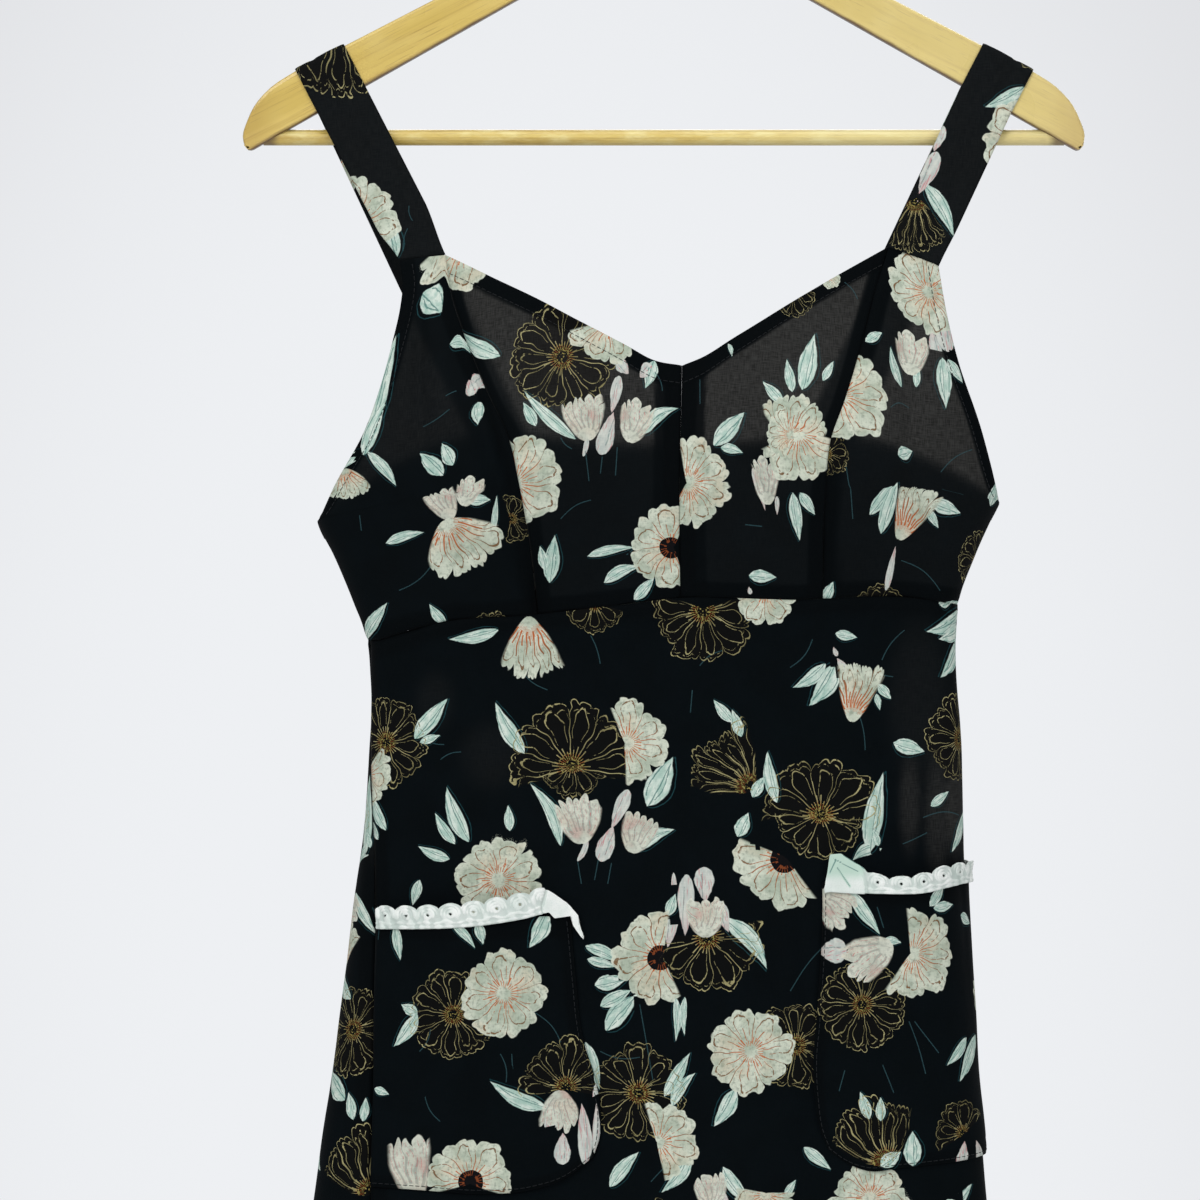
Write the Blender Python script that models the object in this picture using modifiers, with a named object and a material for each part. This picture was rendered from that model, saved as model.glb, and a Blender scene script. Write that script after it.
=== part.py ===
"""A cotton sundress with a princess-seamed bodice, wide straps and lace-trimmed pockets, on its hanger.

The dress hangs by its straps from a flat wooden hanger, as it would on a rail. Run it with
blender --background --python part.py, or from Blender's text editor. The scene is in metres, +Z up. The
front faces -Y, and +X is to the right as seen from the front. The origin is the inside top of the hanger's
hook, where the rail bears. Tables and lengths below are in millimetres, and angles round the dress in
degrees: -90 at its left edge as seen from the front, 0 at the middle of the front, 90 at the right edge,
180 behind.
"""

import math

import bmesh
import bpy
import numpy as np

METRES = 0.001

# ---- Driving sizes -----------------------------------------------------------------------------------

CLOTH = 1.2  # one wall of cloth
STRAP_CLOTH = 1.6  # a strap is folded double
SEAM_INSET = 0.25  # each piece ends this far short of its seam line
STRAP_END_INSET = 0.7  # a strap meets its panel at a slight angle, so it ends a little further off
HEM = -1110.0

ARM_THICKNESS = 12.0
ARM_EDGE_ROUNDING = 1.6
ARM_EDGE = ((66.0, -98.0), (197.0, -165.6))  # ends of the straight edge that the straps hang on
BAR_RADIUS = 4.25
BAR_HEIGHT = -200.8
BAR_REACH = 214.0  # half its length, sockets included
SOCKET_PLAY = 0.3
HOOK_RADIUS = 19.0  # inside the hook
WIRE_RADIUS = 1.9
HOOK_SINK = 13.0  # how far the wire goes into the wood
HOOK_TIP = 200.0  # angle of the hook's open end round the rail, from the right and counted up over the top
CROWN = -75.0  # top of the wood, where the hook goes in

SQUARENESS = 0.25  # 0 makes a section of the dress an ellipse, more makes it boxier
WAIST_LEVEL = -455.0  # about the height of the waist seam, which rises and falls a little round the dress

# ---- Form of the dress -------------------------------------------------------------------------------

FORM = (
    # height, left edge, right edge, reach in front of and behind the hanger's plane
    (-1110, -232.0, 196.0, 46, 44),
    (-940, -209.0, 185.0, 41, 39),
    (-766, -187.0, 172.5, 36, 34),
    (-672, -173.5, 164.2, 33, 31),
    (-604, -164.2, 161.0, 31, 29),
    (-536, -158.0, 159.3, 28, 26),
    (-490, -156.7, 156.3, 26, 24),
    (-469, -158.8, 156.2, 26, 24),
    (-450, -165.5, 157.4, 27, 24),
    (-424, -176.4, 166.3, 30, 26),
    (-406, -185.0, 174.5, 32, 27),
    (-396.4, -186.0, 179.1, 33, 27),
    (-360, -186.0, 182.0, 34, 27),
    (-310, -178.0, 178.0, 29, 24),
    (-262, -168.0, 170.0, 20, 18),
)

CUPS = (
    # across, height, half width, half height, fullness
    (-86, -372, 50, 58, 17),
    (86, -372, 50, 58, 17),
)

FOLD_RUN_ON = 0.25  # a fold of the bodice fades out over this share of its length past each end
BODICE_FOLDS = (
    # top across, top height, bottom across, bottom height, half width, depth
    (-112, -300, -69, -450, 9, 8),  # deep fold beside the left princess seam
    (-131, -285, -128, -372, 7, 4),  # from the left strap down past the armhole
    (44, -352, 52, -412, 9, 4),  # under the right cup
    (128, -288, 131, -380, 8, 3),  # from the right strap
)

FOLD_OPENING = 1.3  # above 1, a fold of the skirt opens slowly at first and faster towards the hem
SKIRT_FOLDS = (
    # angle, height where it starts, half width in degrees, depth at the hem; a trough is positive
    (-52, -760, 9, -7),
    (-11, -560, 7, 15),
    (7, -600, 8, -6),
    (24, -560, 7, 14),
    (58, -640, 9, -8),
    (140, -620, 9, 13),
    (163, -600, 9, -6),
    (182, -560, 8, 14),
    (205, -640, 9, -6),
    (224, -600, 9, 13),
)

WAIST_FRONT = (
    # across, height of the waist seam
    (-157.0, -469.4),
    (-120.5, -460.0),
    (-71.4, -456.0),
    (-23.5, -450.8),
    (9.1, -447.0),
    (69.3, -448.0),
    (126.3, -446.6),
    (157.0, -450.4),
)

WAIST_BACK = (
    # angle, height of the waist seam
    (90, -450.4),
    (135, -455.0),
    (180, -459.0),
    (225, -464.0),
    (270, -469.4),
)

# Seams and edges of the bodice's front: height, across
LEFT_PRINCESS = (
    (-475, -66.0),
    (-454.5, -67.7),
    (-407, -73.0),
    (-384, -76.8),
    (-359.6, -82.6),
    (-340.4, -92.2),
    (-307.9, -106.5),
    (-282.9, -114.0),
    (-264.2, -116.2),
)
RIGHT_PRINCESS = (
    (-475, 84.2),
    (-447, 84.2),
    (-394.8, 84.2),
    (-359.6, 87.9),
    (-345.2, 93.5),
    (-312.2, 104.5),
    (-282.9, 112.5),
    (-260.0, 119.2),
)
CENTRE_FRONT = (
    (-475, 9.3),
    (-400, 8.0),
    (-323.4, 9.5),
)
LEFT_ARMHOLE = (
    (-406, -185.0),
    (-388.4, -176.4),
    (-359.6, -159.9),
    (-332.4, -150.3),
    (-312.2, -145.0),
    (-290.9, -140.4),
    (-280.2, -139.4),
    (-266.9, -141.2),
)
RIGHT_ARMHOLE = (
    (-396.4, 179.1),
    (-359.6, 170.0),
    (-322.3, 157.2),
    (-293.5, 150.3),
    (-269.8, 146.6),
)

# Neckline: across, height
LEFT_NECKLINE = (
    (-116.2, -264.2),
    (-93.3, -275.4),
    (-67.7, -287.7),
    (-48.5, -297.8),
    (-34.1, -305.3),
    (-19.7, -313.0),
    (-6.0, -320.4),
    (9.5, -323.4),
)
RIGHT_NECKLINE = (
    (9.5, -323.4),
    (21.3, -318.6),
    (37.3, -308.5),
    (73.0, -286.6),
    (90.1, -276.5),
    (119.2, -260.0),
)

BACK_TOP = (
    # across, height, from the right underarm to the left one
    (179.1, -396.4),
    (158.0, -384.0),
    (130.0, -371.0),
    (101.0, -363.0),
    (73.0, -363.0),
    (40.0, -366.5),
    (0.0, -368.0),
    (-40.0, -366.5),
    (-73.0, -363.0),
    (-101.0, -363.5),
    (-130.0, -372.5),
    (-158.0, -388.0),
    (-185.0, -406.0),
)

SKIRT_SEAMS = (
    # height, angle of the left and of the right side seam; the front is turned a little to the right
    (-1110, -37, 116),
    (-940, -43, 116),
    (-766, -48, 116),
    (-672, -54.6, 116),
    (-604, -62, 115),
    (-536, -75, 107),
    (-490, -86, 97),
    (-444, -90, 90),
)


def smooth(table, at):
    """The table's other columns where its first column is `at`, on a smooth curve through its rows."""
    rows = np.asarray(table, float)
    rows = rows[np.argsort(rows[:, 0])]
    key, values = rows[:, 0], rows[:, 1:]
    slope = np.gradient(values, key, axis=0)
    at = np.clip(np.asarray(at, float), key[0], key[-1])
    row = np.clip(np.searchsorted(key, at, side="right") - 1, 0, len(key) - 2)
    span = (key[row + 1] - key[row])[..., None]
    t = (at - key[row])[..., None] / span
    ease = t * t * (3 - 2 * t)
    return (
        values[row] * (1 - ease)
        + values[row + 1] * ease
        + slope[row] * span * t * (1 - t) ** 2
        - slope[row + 1] * span * t * t * (1 - t)
    )


def column(table, at):
    """The second column of a two-column table."""
    return smooth(table, at)[..., 0]


def share_across(angle):
    """How far across its section this angle lies, from -1 to 1."""
    turn = np.radians(angle)
    return np.sin(turn) * (1 + SQUARENESS * np.cos(turn) ** 2)


def share_deep(angle):
    """How far in front of the hanger's plane this angle lies, from -1 behind to 1."""
    turn = np.radians(angle)
    return np.cos(turn) * (1 + SQUARENESS * np.sin(turn) ** 2)


def bell(distance):
    return np.exp(-(distance**2))


def fold_depth(across, angle, height):
    """How far the cloth stands out at this place: the fullness of the cups less the depth of the folds."""
    facing = np.sqrt(np.clip(np.cos(np.radians(angle)), 0, 1))  # cups and bodice folds are in front only
    out = np.zeros(np.broadcast(across, height).shape)
    for x, z, half_width, half_height, fullness in CUPS:
        out += facing * fullness * bell(np.hypot((across - x) / half_width, (height - z) / half_height))
    for x0, z0, x1, z1, half_width, depth in BODICE_FOLDS:
        along = np.clip((height - z0) / (z1 - z0), -FOLD_RUN_ON, 1 + FOLD_RUN_ON)
        aside = across - (x0 + (x1 - x0) * along)
        fade = np.sin(np.pi * (along + FOLD_RUN_ON) / (1 + 2 * FOLD_RUN_ON))
        out -= facing * fade * depth * bell(aside / half_width)
    for place, start, half_width, depth in SKIRT_FOLDS:
        aside = (angle - place + 180) % 360 - 180
        growth = np.clip((start - height) / (start - HEM), 0, 1) ** FOLD_OPENING
        out -= growth * depth * bell(aside / half_width)
    return out


def dress(angle, height, out=0.0):
    """Point of the dress at this angle round it and this height, moved `out` off the cloth."""
    angle, height = np.broadcast_arrays(np.asarray(angle, float), np.asarray(height, float))
    left, right, front, back = np.moveaxis(smooth(FORM, height), -1, 0)
    half = (right - left) / 2
    deep = share_deep(angle)
    reach = np.where(deep > 0, front, back)
    x = (left + right) / 2 + half * share_across(angle)
    y = -reach * deep
    turn = np.radians(angle)
    side, face = np.sin(turn) * reach, -np.cos(turn) * half
    length = np.hypot(side, face)
    off = fold_depth(x, angle, height) + out
    return np.stack([x + side / length * off, y + face / length * off, height], -1)


TURNS = np.linspace(-90, 90, 361)


def front_angle(across, height):
    """Angle of the front where it lies this far across."""
    left, right, *_ = np.moveaxis(smooth(FORM, height), -1, 0)
    share = (across - (left + right) / 2) / ((right - left) / 2)
    return np.interp(share, share_across(TURNS), TURNS)


def waist(angle):
    """Height of the waist seam round the dress."""
    angle = np.asarray(angle, float) % 360
    across = dress(angle, WAIST_LEVEL)[..., 0]
    behind = (angle > 90) & (angle < 270)
    return np.where(behind, column(WAIST_BACK, angle), column(WAIST_FRONT, across))


# ---- Making meshes -----------------------------------------------------------------------------------


def clear_scene():
    for old in list(bpy.data.objects):
        bpy.data.objects.remove(old, do_unlink=True)


def new_collection(name):
    collection = bpy.data.collections.new(name)
    bpy.context.scene.collection.children.link(collection)
    return collection


def finish_of(name, colour, roughness, metallic=0.0):
    """A plain material of this colour."""
    made = bpy.data.materials.new(name)
    made.use_nodes = True
    shader = made.node_tree.nodes["Principled BSDF"]
    shader.inputs["Base Color"].default_value = (*colour, 1)
    shader.inputs["Roughness"].default_value = roughness
    shader.inputs["Metallic"].default_value = metallic
    return made


def inset(points, sides, ends):
    """The sheet's points with its side edges, and its bottom and top edges, drawn in by these lengths."""
    points = points.copy()
    for sheet, amount in ((points, ends), (points.swapaxes(0, 1), sides)):
        for edge, inner in ((0, 1), (-1, -2)):
            inward = sheet[inner] - sheet[edge]
            sheet[edge] += inward / np.linalg.norm(inward, axis=-1, keepdims=True) * amount
    return points


def sheet_object(name, points, thickness, material, collection):
    """A cloth panel: a grid laid on these points, row by row from the bottom, and made thick."""
    rows, columns = points.shape[:2]
    grid = bmesh.new()
    bmesh.ops.create_grid(grid, x_segments=columns - 1, y_segments=rows - 1, size=0.5)
    for vertex in grid.verts:
        column_at = round((vertex.co.x + 0.5) * (columns - 1))
        row_at = round((vertex.co.y + 0.5) * (rows - 1))
        vertex.co = points[row_at, column_at] * METRES
    mesh = bpy.data.meshes.new(name)
    grid.to_mesh(mesh)
    grid.free()
    mesh.materials.append(material)
    mesh.shade_smooth()
    panel = bpy.data.objects.new(name, mesh)
    collection.objects.link(panel)
    wall = panel.modifiers.new("Cloth", "SOLIDIFY")
    wall.thickness = thickness * METRES
    wall.offset = 0
    return panel


def patch(left, right, bottom, top):
    """Angles and heights of a panel's grid between its four edges, each a list of (angle, height)."""
    across = np.linspace(0, 1, len(bottom))[None, :, None]
    up = np.linspace(0, 1, len(left))[:, None, None]
    sides = left[:, None] * (1 - across) + right[:, None] * across
    ends = bottom[None] * (1 - up) + top[None] * up
    corners = (bottom[0] * (1 - across) + bottom[-1] * across) * (1 - up) + (
        top[0] * (1 - across) + top[-1] * across
    ) * up
    return sides + ends - corners


def up_seam(seam, low, high, count):
    """Points up a seam of the front, from a table of height and across."""
    height = np.linspace(low, high, count + 1)
    return np.stack([front_angle(column(seam, height), height), height], -1)


def up_side(angle, low, high, count):
    """Points up a side seam."""
    return np.stack([np.full(count + 1, float(angle)), np.linspace(low, high, count + 1)], -1)


def along_edge(edge, start, end, count):
    """Points along an edge of the front, from a table of across and height."""
    across = np.linspace(start, end, count + 1)
    height = column(edge, across)
    return np.stack([front_angle(across, height), height], -1)


def along_waist(start, end, count):
    angle = np.linspace(start, end, count + 1)
    return np.stack([angle, waist(angle)], -1)


# ---- Bodice ------------------------------------------------------------------------------------------


def waist_angle(seam):
    """Angle at which this seam of the front meets the waist."""
    return float(front_angle(column(seam, WAIST_LEVEL), WAIST_LEVEL))


def bodice_side(side, columns=11, side_rows=4, armhole_rows=10):
    """The panel from the side seam and armhole to the princess seam, up to the strap."""
    if side == "left":
        edge, armhole, princess = -90.0, LEFT_ARMHOLE, LEFT_PRINCESS
    else:
        edge, armhole, princess = 90.0, RIGHT_ARMHOLE, RIGHT_PRINCESS
    underarm, shoulder = armhole[0][0], armhole[-1][0]
    low = float(waist(edge))
    inner = waist_angle(princess)
    outer_edge = np.concatenate(
        [
            up_side(edge, low, underarm, side_rows)[:-1],
            up_seam(armhole, underarm, shoulder, armhole_rows),
        ]
    )
    outer_edge[side_rows][0] = edge
    princess_edge = up_seam(princess, float(waist(inner)), princess[-1][0], side_rows + armhole_rows)
    top = np.linspace(outer_edge[-1], princess_edge[-1], columns + 1)
    bottom = along_waist(edge, inner, columns)
    edges = (outer_edge, princess_edge, bottom, top)
    if side == "right":
        edges = (princess_edge, outer_edge, bottom[::-1], top[::-1])
    return np.moveaxis(patch(*edges), -1, 0)


def bodice_centre(side, columns=10, rows=14):
    """The panel from the princess seam to the seam down the middle of the front."""
    if side == "left":
        princess, neckline = LEFT_PRINCESS, LEFT_NECKLINE
    else:
        princess, neckline = RIGHT_PRINCESS, RIGHT_NECKLINE
    seams = []
    for seam in (princess, CENTRE_FRONT):
        foot = waist_angle(seam)
        seams.append(up_seam(seam, float(waist(foot)), seam[-1][0], rows))
    if side == "right":
        seams.reverse()
    bottom = along_waist(seams[0][0][0], seams[1][0][0], columns)
    top = along_edge(neckline, neckline[0][0], neckline[-1][0], columns)
    return np.moveaxis(patch(*seams, bottom, top), -1, 0)


def bodice_back(columns=22, rows=9):
    """The back, in one panel from side seam to side seam."""
    right = up_side(90, float(waist(90)), BACK_TOP[0][1], rows)
    left = up_side(270, float(waist(270)), BACK_TOP[-1][1], rows)
    share = np.linspace(0, 1, columns + 1)
    angle = 90 + 180 * share
    across = share_across(angle)
    lowest, highest = BACK_TOP[-1][0], BACK_TOP[0][0]
    height = column(BACK_TOP, (lowest + highest) / 2 + (highest - lowest) / 2 * across)
    top = np.stack([angle, height], -1)
    return np.moveaxis(patch(right, left, along_waist(90, 270, columns), top), -1, 0)


# ---- Skirt -------------------------------------------------------------------------------------------


def skirt_row(share_up, start, end, columns):
    """Angles and heights of one row of the skirt between two seams, closer together at its tight sides."""
    fine = np.linspace(0, 1, 181)
    middle = HEM + (WAIST_LEVEL - HEM) * share_up
    first, last = start(middle), end(middle)
    angle = first + (last - first) * fine
    height = HEM + (waist(angle) - HEM) * share_up
    place = dress(angle, height)
    run = np.concatenate([[0], np.cumsum(np.linalg.norm(np.diff(place, axis=0), axis=1))])
    spacing = (run / run[-1] + fine) / 2
    spread = np.interp(np.linspace(0, 1, columns + 1), spacing, angle)
    return spread, HEM + (waist(spread) - HEM) * share_up


def left_seam(height):
    return float(smooth(SKIRT_SEAMS, height)[..., 0])


def right_seam(height):
    return float(smooth(SKIRT_SEAMS, height)[..., 1])


def left_seam_from_behind(height):
    return left_seam(height) + 360


def skirt_panel(start, end, columns, rows=22):
    """The front and the back have rows at the same heights, so that their side seams fit."""
    found = [skirt_row(share, start, end, columns) for share in np.linspace(0, 1, rows + 1)]
    return np.moveaxis(np.array(found), 1, 0)


# ---- Pockets and their trim --------------------------------------------------------------------------

POCKET_LIFT = 2.2  # from the middle of the skirt's cloth to the middle of the pocket's, where it is sewn
TRIM_LIFT = 1.9  # more, for the trim on the pocket
SCALLOP = 12.0  # length of one scallop of the trim
SCALLOP_DEPTH = 0.3  # share of the trim's half height that the notches go down
MOUTH_GAPE = 12.0  # how far the pocket's mouth stands off the skirt
GAPE_GROWTH = 1.5  # above 1, the pocket stays close to the skirt low down and stands off near its mouth
SCALLOP_ROUNDNESS = 0.6  # 1 makes each scallop a sine's arch, less makes it fuller

# Free edge of each pocket, across from the side seam: height, distance from the seam along the cloth
LEFT_POCKET_EDGE = (
    (-744, 118),
    (-735, 121),
    (-726, 122),
    (-701, 118),
    (-682, 112),
    (-650, 107.5),
    (-616, 104),
)
RIGHT_POCKET_EDGE = (
    (-740, 118.5),
    (-729.5, 121.5),
    (-712, 122),
    (-691.7, 120.4),
    (-671.4, 116.3),
    (-640, 111.5),
    (-598, 106.5),
)
# Foot of each pocket: distance from the seam, height
LEFT_POCKET_FOOT = (
    (0, -760),
    (25, -761.5),
    (60, -763.5),
    (85, -761.5),
    (104, -755),
    (118, -744),
)
RIGHT_POCKET_FOOT = (
    (0, -741),
    (30, -744.5),
    (60, -748),
    (81.5, -750),
    (100.4, -751.2),
    (111.9, -746),
    (118.5, -740),
)
# Lace along each mouth: distance from the seam, height, half the lace's height; the left end is folded down
LEFT_TRIM = (
    (1, -617.0, 6.2),
    (27, -616.4, 6.3),
    (54, -614.4, 6.8),
    (78, -610.6, 7.0),
    (93, -607.6, 7.0),
    (101, -609.6, 6.2),
    (106.5, -614.6, 4.4),
    (109.5, -621.0, 2.6),
    (111.5, -628.0, 1.2),
)
RIGHT_TRIM = (
    (1, -592.5, 5.6),
    (25, -593.3, 5.6),
    (40, -594.8, 5.9),
    (56, -598.4, 5.2),
    (78, -598.7, 5.2),
    (89, -596.4, 7.4),
    (96, -594.6, 9.2),
    (101, -596.6, 7.0),
    (106, -601.8, 3.0),
)

POCKETS = {
    # its tables, the height of its mouth, and how far from the side seam it starts to stand off the skirt
    "left": dict(free_edge=LEFT_POCKET_EDGE, foot=LEFT_POCKET_FOOT, trim=LEFT_TRIM, mouth=-616.0, snug=0.0),
    "right": dict(
        free_edge=RIGHT_POCKET_EDGE, foot=RIGHT_POCKET_FOOT, trim=RIGHT_TRIM, mouth=-598.0, snug=30.0
    ),
}


def seam_distance_angle(side, distance, height):
    """Angle on the skirt this far along the cloth from the side seam."""
    fine = np.linspace(0, 1, 241)
    first, last = left_seam(height), right_seam(height)
    if side == "right":
        first, last = last, first
    angle = first + (last - first) * fine
    place = dress(angle, np.full_like(angle, height))
    run = np.concatenate([[0], np.cumsum(np.linalg.norm(np.diff(place, axis=0), axis=1))])
    return float(np.interp(distance, run, angle))


def pocket_lift(side, distance, height):
    """How far the pocket stands off the skirt: sewn down at its edges, and gaping towards the mouth."""
    pocket = POCKETS[side]
    width, snug = column(pocket["free_edge"], height), pocket["snug"]
    open_share = np.sin(np.pi * np.clip((distance - snug) / (width - snug), 0, 1))
    bottom = min(height_at for _, height_at in pocket["foot"])
    rise = np.clip((height - bottom) / (pocket["mouth"] - bottom), 0, 1)
    return POCKET_LIFT + MOUTH_GAPE * open_share * rise**GAPE_GROWTH


def on_skirt(side, distances, heights, lifts):
    """Points over the skirt at these distances from the side seam."""
    flat = zip(distances.ravel(), heights.ravel(), lifts.ravel())
    points = [dress(seam_distance_angle(side, s, z), z, lift) for s, z, lift in flat]
    return np.array(points).reshape(*distances.shape, 3)


def facing_out(side, points):
    """Right-hand pieces are counted from the other seam, so their columns are turned round."""
    return points[:, ::-1] if side == "right" else points


def pocket_points(side, columns=13, rows=13):
    pocket = POCKETS[side]
    free_edge, foot = pocket["free_edge"], pocket["foot"]
    seam_low, seam_high = foot[0][1], pocket["mouth"]
    free_height = np.linspace(free_edge[0][0], free_edge[-1][0], rows + 1)
    foot_distance = np.linspace(0, foot[-1][0], columns + 1)
    mouth_distance = np.linspace(0, free_edge[-1][1], columns + 1)
    seam = np.stack([np.zeros(rows + 1), np.linspace(seam_low, seam_high, rows + 1)], -1)
    free = np.stack([column(free_edge, free_height), free_height], -1)
    bottom = np.stack([foot_distance, column(foot, foot_distance)], -1)
    top = np.stack([mouth_distance, np.full(columns + 1, seam_high)], -1)
    distance, height = np.moveaxis(patch(seam, free, bottom, top), -1, 0)
    return facing_out(side, on_skirt(side, distance, height, pocket_lift(side, distance, height)))


def trim_points(side, steps_each=6, rows=3):
    """The lace along a pocket's mouth: a strip on a line of its own, scalloped along the top."""
    line = np.array(POCKETS[side]["trim"])
    start, end = line[0, 0], line[-1, 0]
    steps = int(round((end - start) / SCALLOP * steps_each))
    along = np.linspace(start, end, steps + 1)
    centre, half = np.moveaxis(smooth(line, along), -1, 0)
    slope = np.gradient(centre, along)
    length = np.hypot(1, slope)
    arch = np.abs(np.sin(np.pi * (along - start) / SCALLOP)) ** SCALLOP_ROUNDNESS
    notch = 1 - SCALLOP_DEPTH * (1 - arch)
    up = np.linspace(-1, 1, rows + 1)[:, None]
    reach = half * up * np.where(up > 0, notch, 1)
    distance = along - slope / length * reach
    height = centre + reach / length
    lift = pocket_lift(side, distance, height) + TRIM_LIFT
    return facing_out(side, on_skirt(side, distance, height, lift))


# ---- Straps ------------------------------------------------------------------------------------------

STRAPS = {
    # how far out on the arm's upper edge its middle rests, its width there, and the corners of its seams to
    # the front and the back, outer then inner, as (across, height)
    "left": dict(
        rest=183.6,
        width=29.5,
        front=((-141.2, -266.9), (-116.2, -264.2)),
        back=((-101.0, -363.5), (-73.0, -363.0)),
    ),
    "right": dict(
        rest=183.6,
        width=30.5,
        front=((146.6, -269.8), (119.2, -260.0)),
        back=((101.0, -363.0), (73.0, -363.0)),
    ),
}
STRAP_REST_GAP = 0.35
STRAP_SPREAD = 26.0  # length over which a strap turns from its seam to its full width
STRAP_LIE = (26.0, 13.0)  # how far below the arm's edge it has its points where it lies on the wood's face


def strap_profile():
    """Middle of a strap over the arm, as (y, height over the arm's edge), from front to back."""
    gap = STRAP_CLOTH / 2 + STRAP_REST_GAP
    face = ARM_THICKNESS / 2 + gap
    bend = ARM_EDGE_ROUNDING + gap
    centre = ARM_THICKNESS / 2 - ARM_EDGE_ROUNDING
    quarter = np.radians(np.linspace(0, 90, 4))
    front_bend = [(-centre - bend * math.cos(a), -ARM_EDGE_ROUNDING + bend * math.sin(a)) for a in quarter]
    front = [(-face, -drop) for drop in STRAP_LIE] + front_bend
    return np.array(front + [(-y, rise) for y, rise in reversed(front)])


def strap_points(side, columns=3, run_steps=7, back_steps=12):
    """One strip from the front's top corner over the hanger's arm to the top of the back."""
    strap = STRAPS[side]
    outward = -1 if side == "left" else 1
    (inner, high), (outer, low) = ARM_EDGE
    slope = math.atan2(high - low, outer - inner)
    along_arm = np.array([-outward * math.cos(slope), 0, math.sin(slope)])
    off_arm = np.array([outward * math.sin(slope), 0, math.cos(slope)])
    rest = np.array([outward * strap["rest"], 0, high - (strap["rest"] - inner) * math.tan(slope)])
    over = [rest + off_arm * rise + np.array([0, y, 0]) for y, rise in strap_profile()]
    full = along_arm * strap["width"] / 2
    ends = []
    for corners, behind in ((strap["front"], False), (strap["back"], True)):
        spots = []
        for across, height in corners:
            angle = front_angle(across, height)
            spots.append(dress(180 - angle if behind else angle, height))
        ends.append(spots)
    stations = []
    for spots, contact, steps in ((ends[0], over[0], run_steps), (ends[1], over[-1], back_steps)):
        seam_middle = (spots[0] + spots[1]) / 2
        seam_half = (spots[1] - spots[0]) / 2
        span = np.linalg.norm(contact - seam_middle)
        run = []
        for share in np.linspace(0, 1, steps, endpoint=False):
            turn = min(1, share * span / STRAP_SPREAD)
            turn = turn * turn * (3 - 2 * turn)
            place = seam_middle + (contact - seam_middle) * share
            run.append((place, seam_half * (1 - turn) + full * turn))
        stations.append(run)
    line = stations[0] + [(place, full) for place in over] + stations[1][::-1]
    across = np.linspace(-1, 1, columns + 1)
    return np.array([[place + half * share for share in across] for place, half in line])


# ---- Hanger ------------------------------------------------------------------------------------------

ARM_OUTLINE = (
    # across, height, handle before, handle after, from the crown round the tip to under the crown
    (0, -75, "AUTO", "AUTO"),
    (32, -82.5, "AUTO", "AUTO"),
    (*ARM_EDGE[0], "AUTO", "VECTOR"),
    (*ARM_EDGE[1], "VECTOR", "AUTO"),
    (214, -178.0, "AUTO", "AUTO"),
    (222.6, -192.0, "AUTO", "AUTO"),
    (224.6, -203.4, "AUTO", "AUTO"),
    (220.8, -208.0, "AUTO", "VECTOR"),
    (78, -127.2, "VECTOR", "AUTO"),
    (40, -113.6, "AUTO", "AUTO"),
    (0, -109, "AUTO", "AUTO"),
)


WELD = 0.00002


def curve_as_mesh(name, curve_object, collection, material):
    """The curve object's evaluated mesh, with its loose caps joined on, in place of the curve."""
    graph = bpy.context.evaluated_depsgraph_get()
    mesh = bpy.data.meshes.new_from_object(curve_object.evaluated_get(graph))
    solid = bmesh.new()
    solid.from_mesh(mesh)
    bmesh.ops.remove_doubles(solid, verts=solid.verts, dist=WELD)
    solid.to_mesh(mesh)
    solid.free()
    made = bpy.data.objects.new(name, mesh)
    made.matrix_world = curve_object.matrix_world
    collection.objects.link(made)
    bpy.data.objects.remove(curve_object, do_unlink=True)
    mesh.materials.clear()
    mesh.materials.append(material)
    return made


UPRIGHT = (0, 0, 0)
LENGTHWISE = (0, math.pi / 2, 0)  # along X


def cylinder(name, radius, depth, sides, height, rotation, collection):
    """A closed cylinder centred on the hanger's middle line at this height."""
    body = bmesh.new()
    bmesh.ops.create_cone(
        body,
        cap_ends=True,
        segments=sides,
        radius1=radius * METRES,
        radius2=radius * METRES,
        depth=depth * METRES,
    )
    mesh = bpy.data.meshes.new(name)
    body.to_mesh(mesh)
    body.free()
    made = bpy.data.objects.new(name, mesh)
    made.location.z = height * METRES
    made.rotation_euler = rotation
    collection.objects.link(made)
    return made


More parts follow.
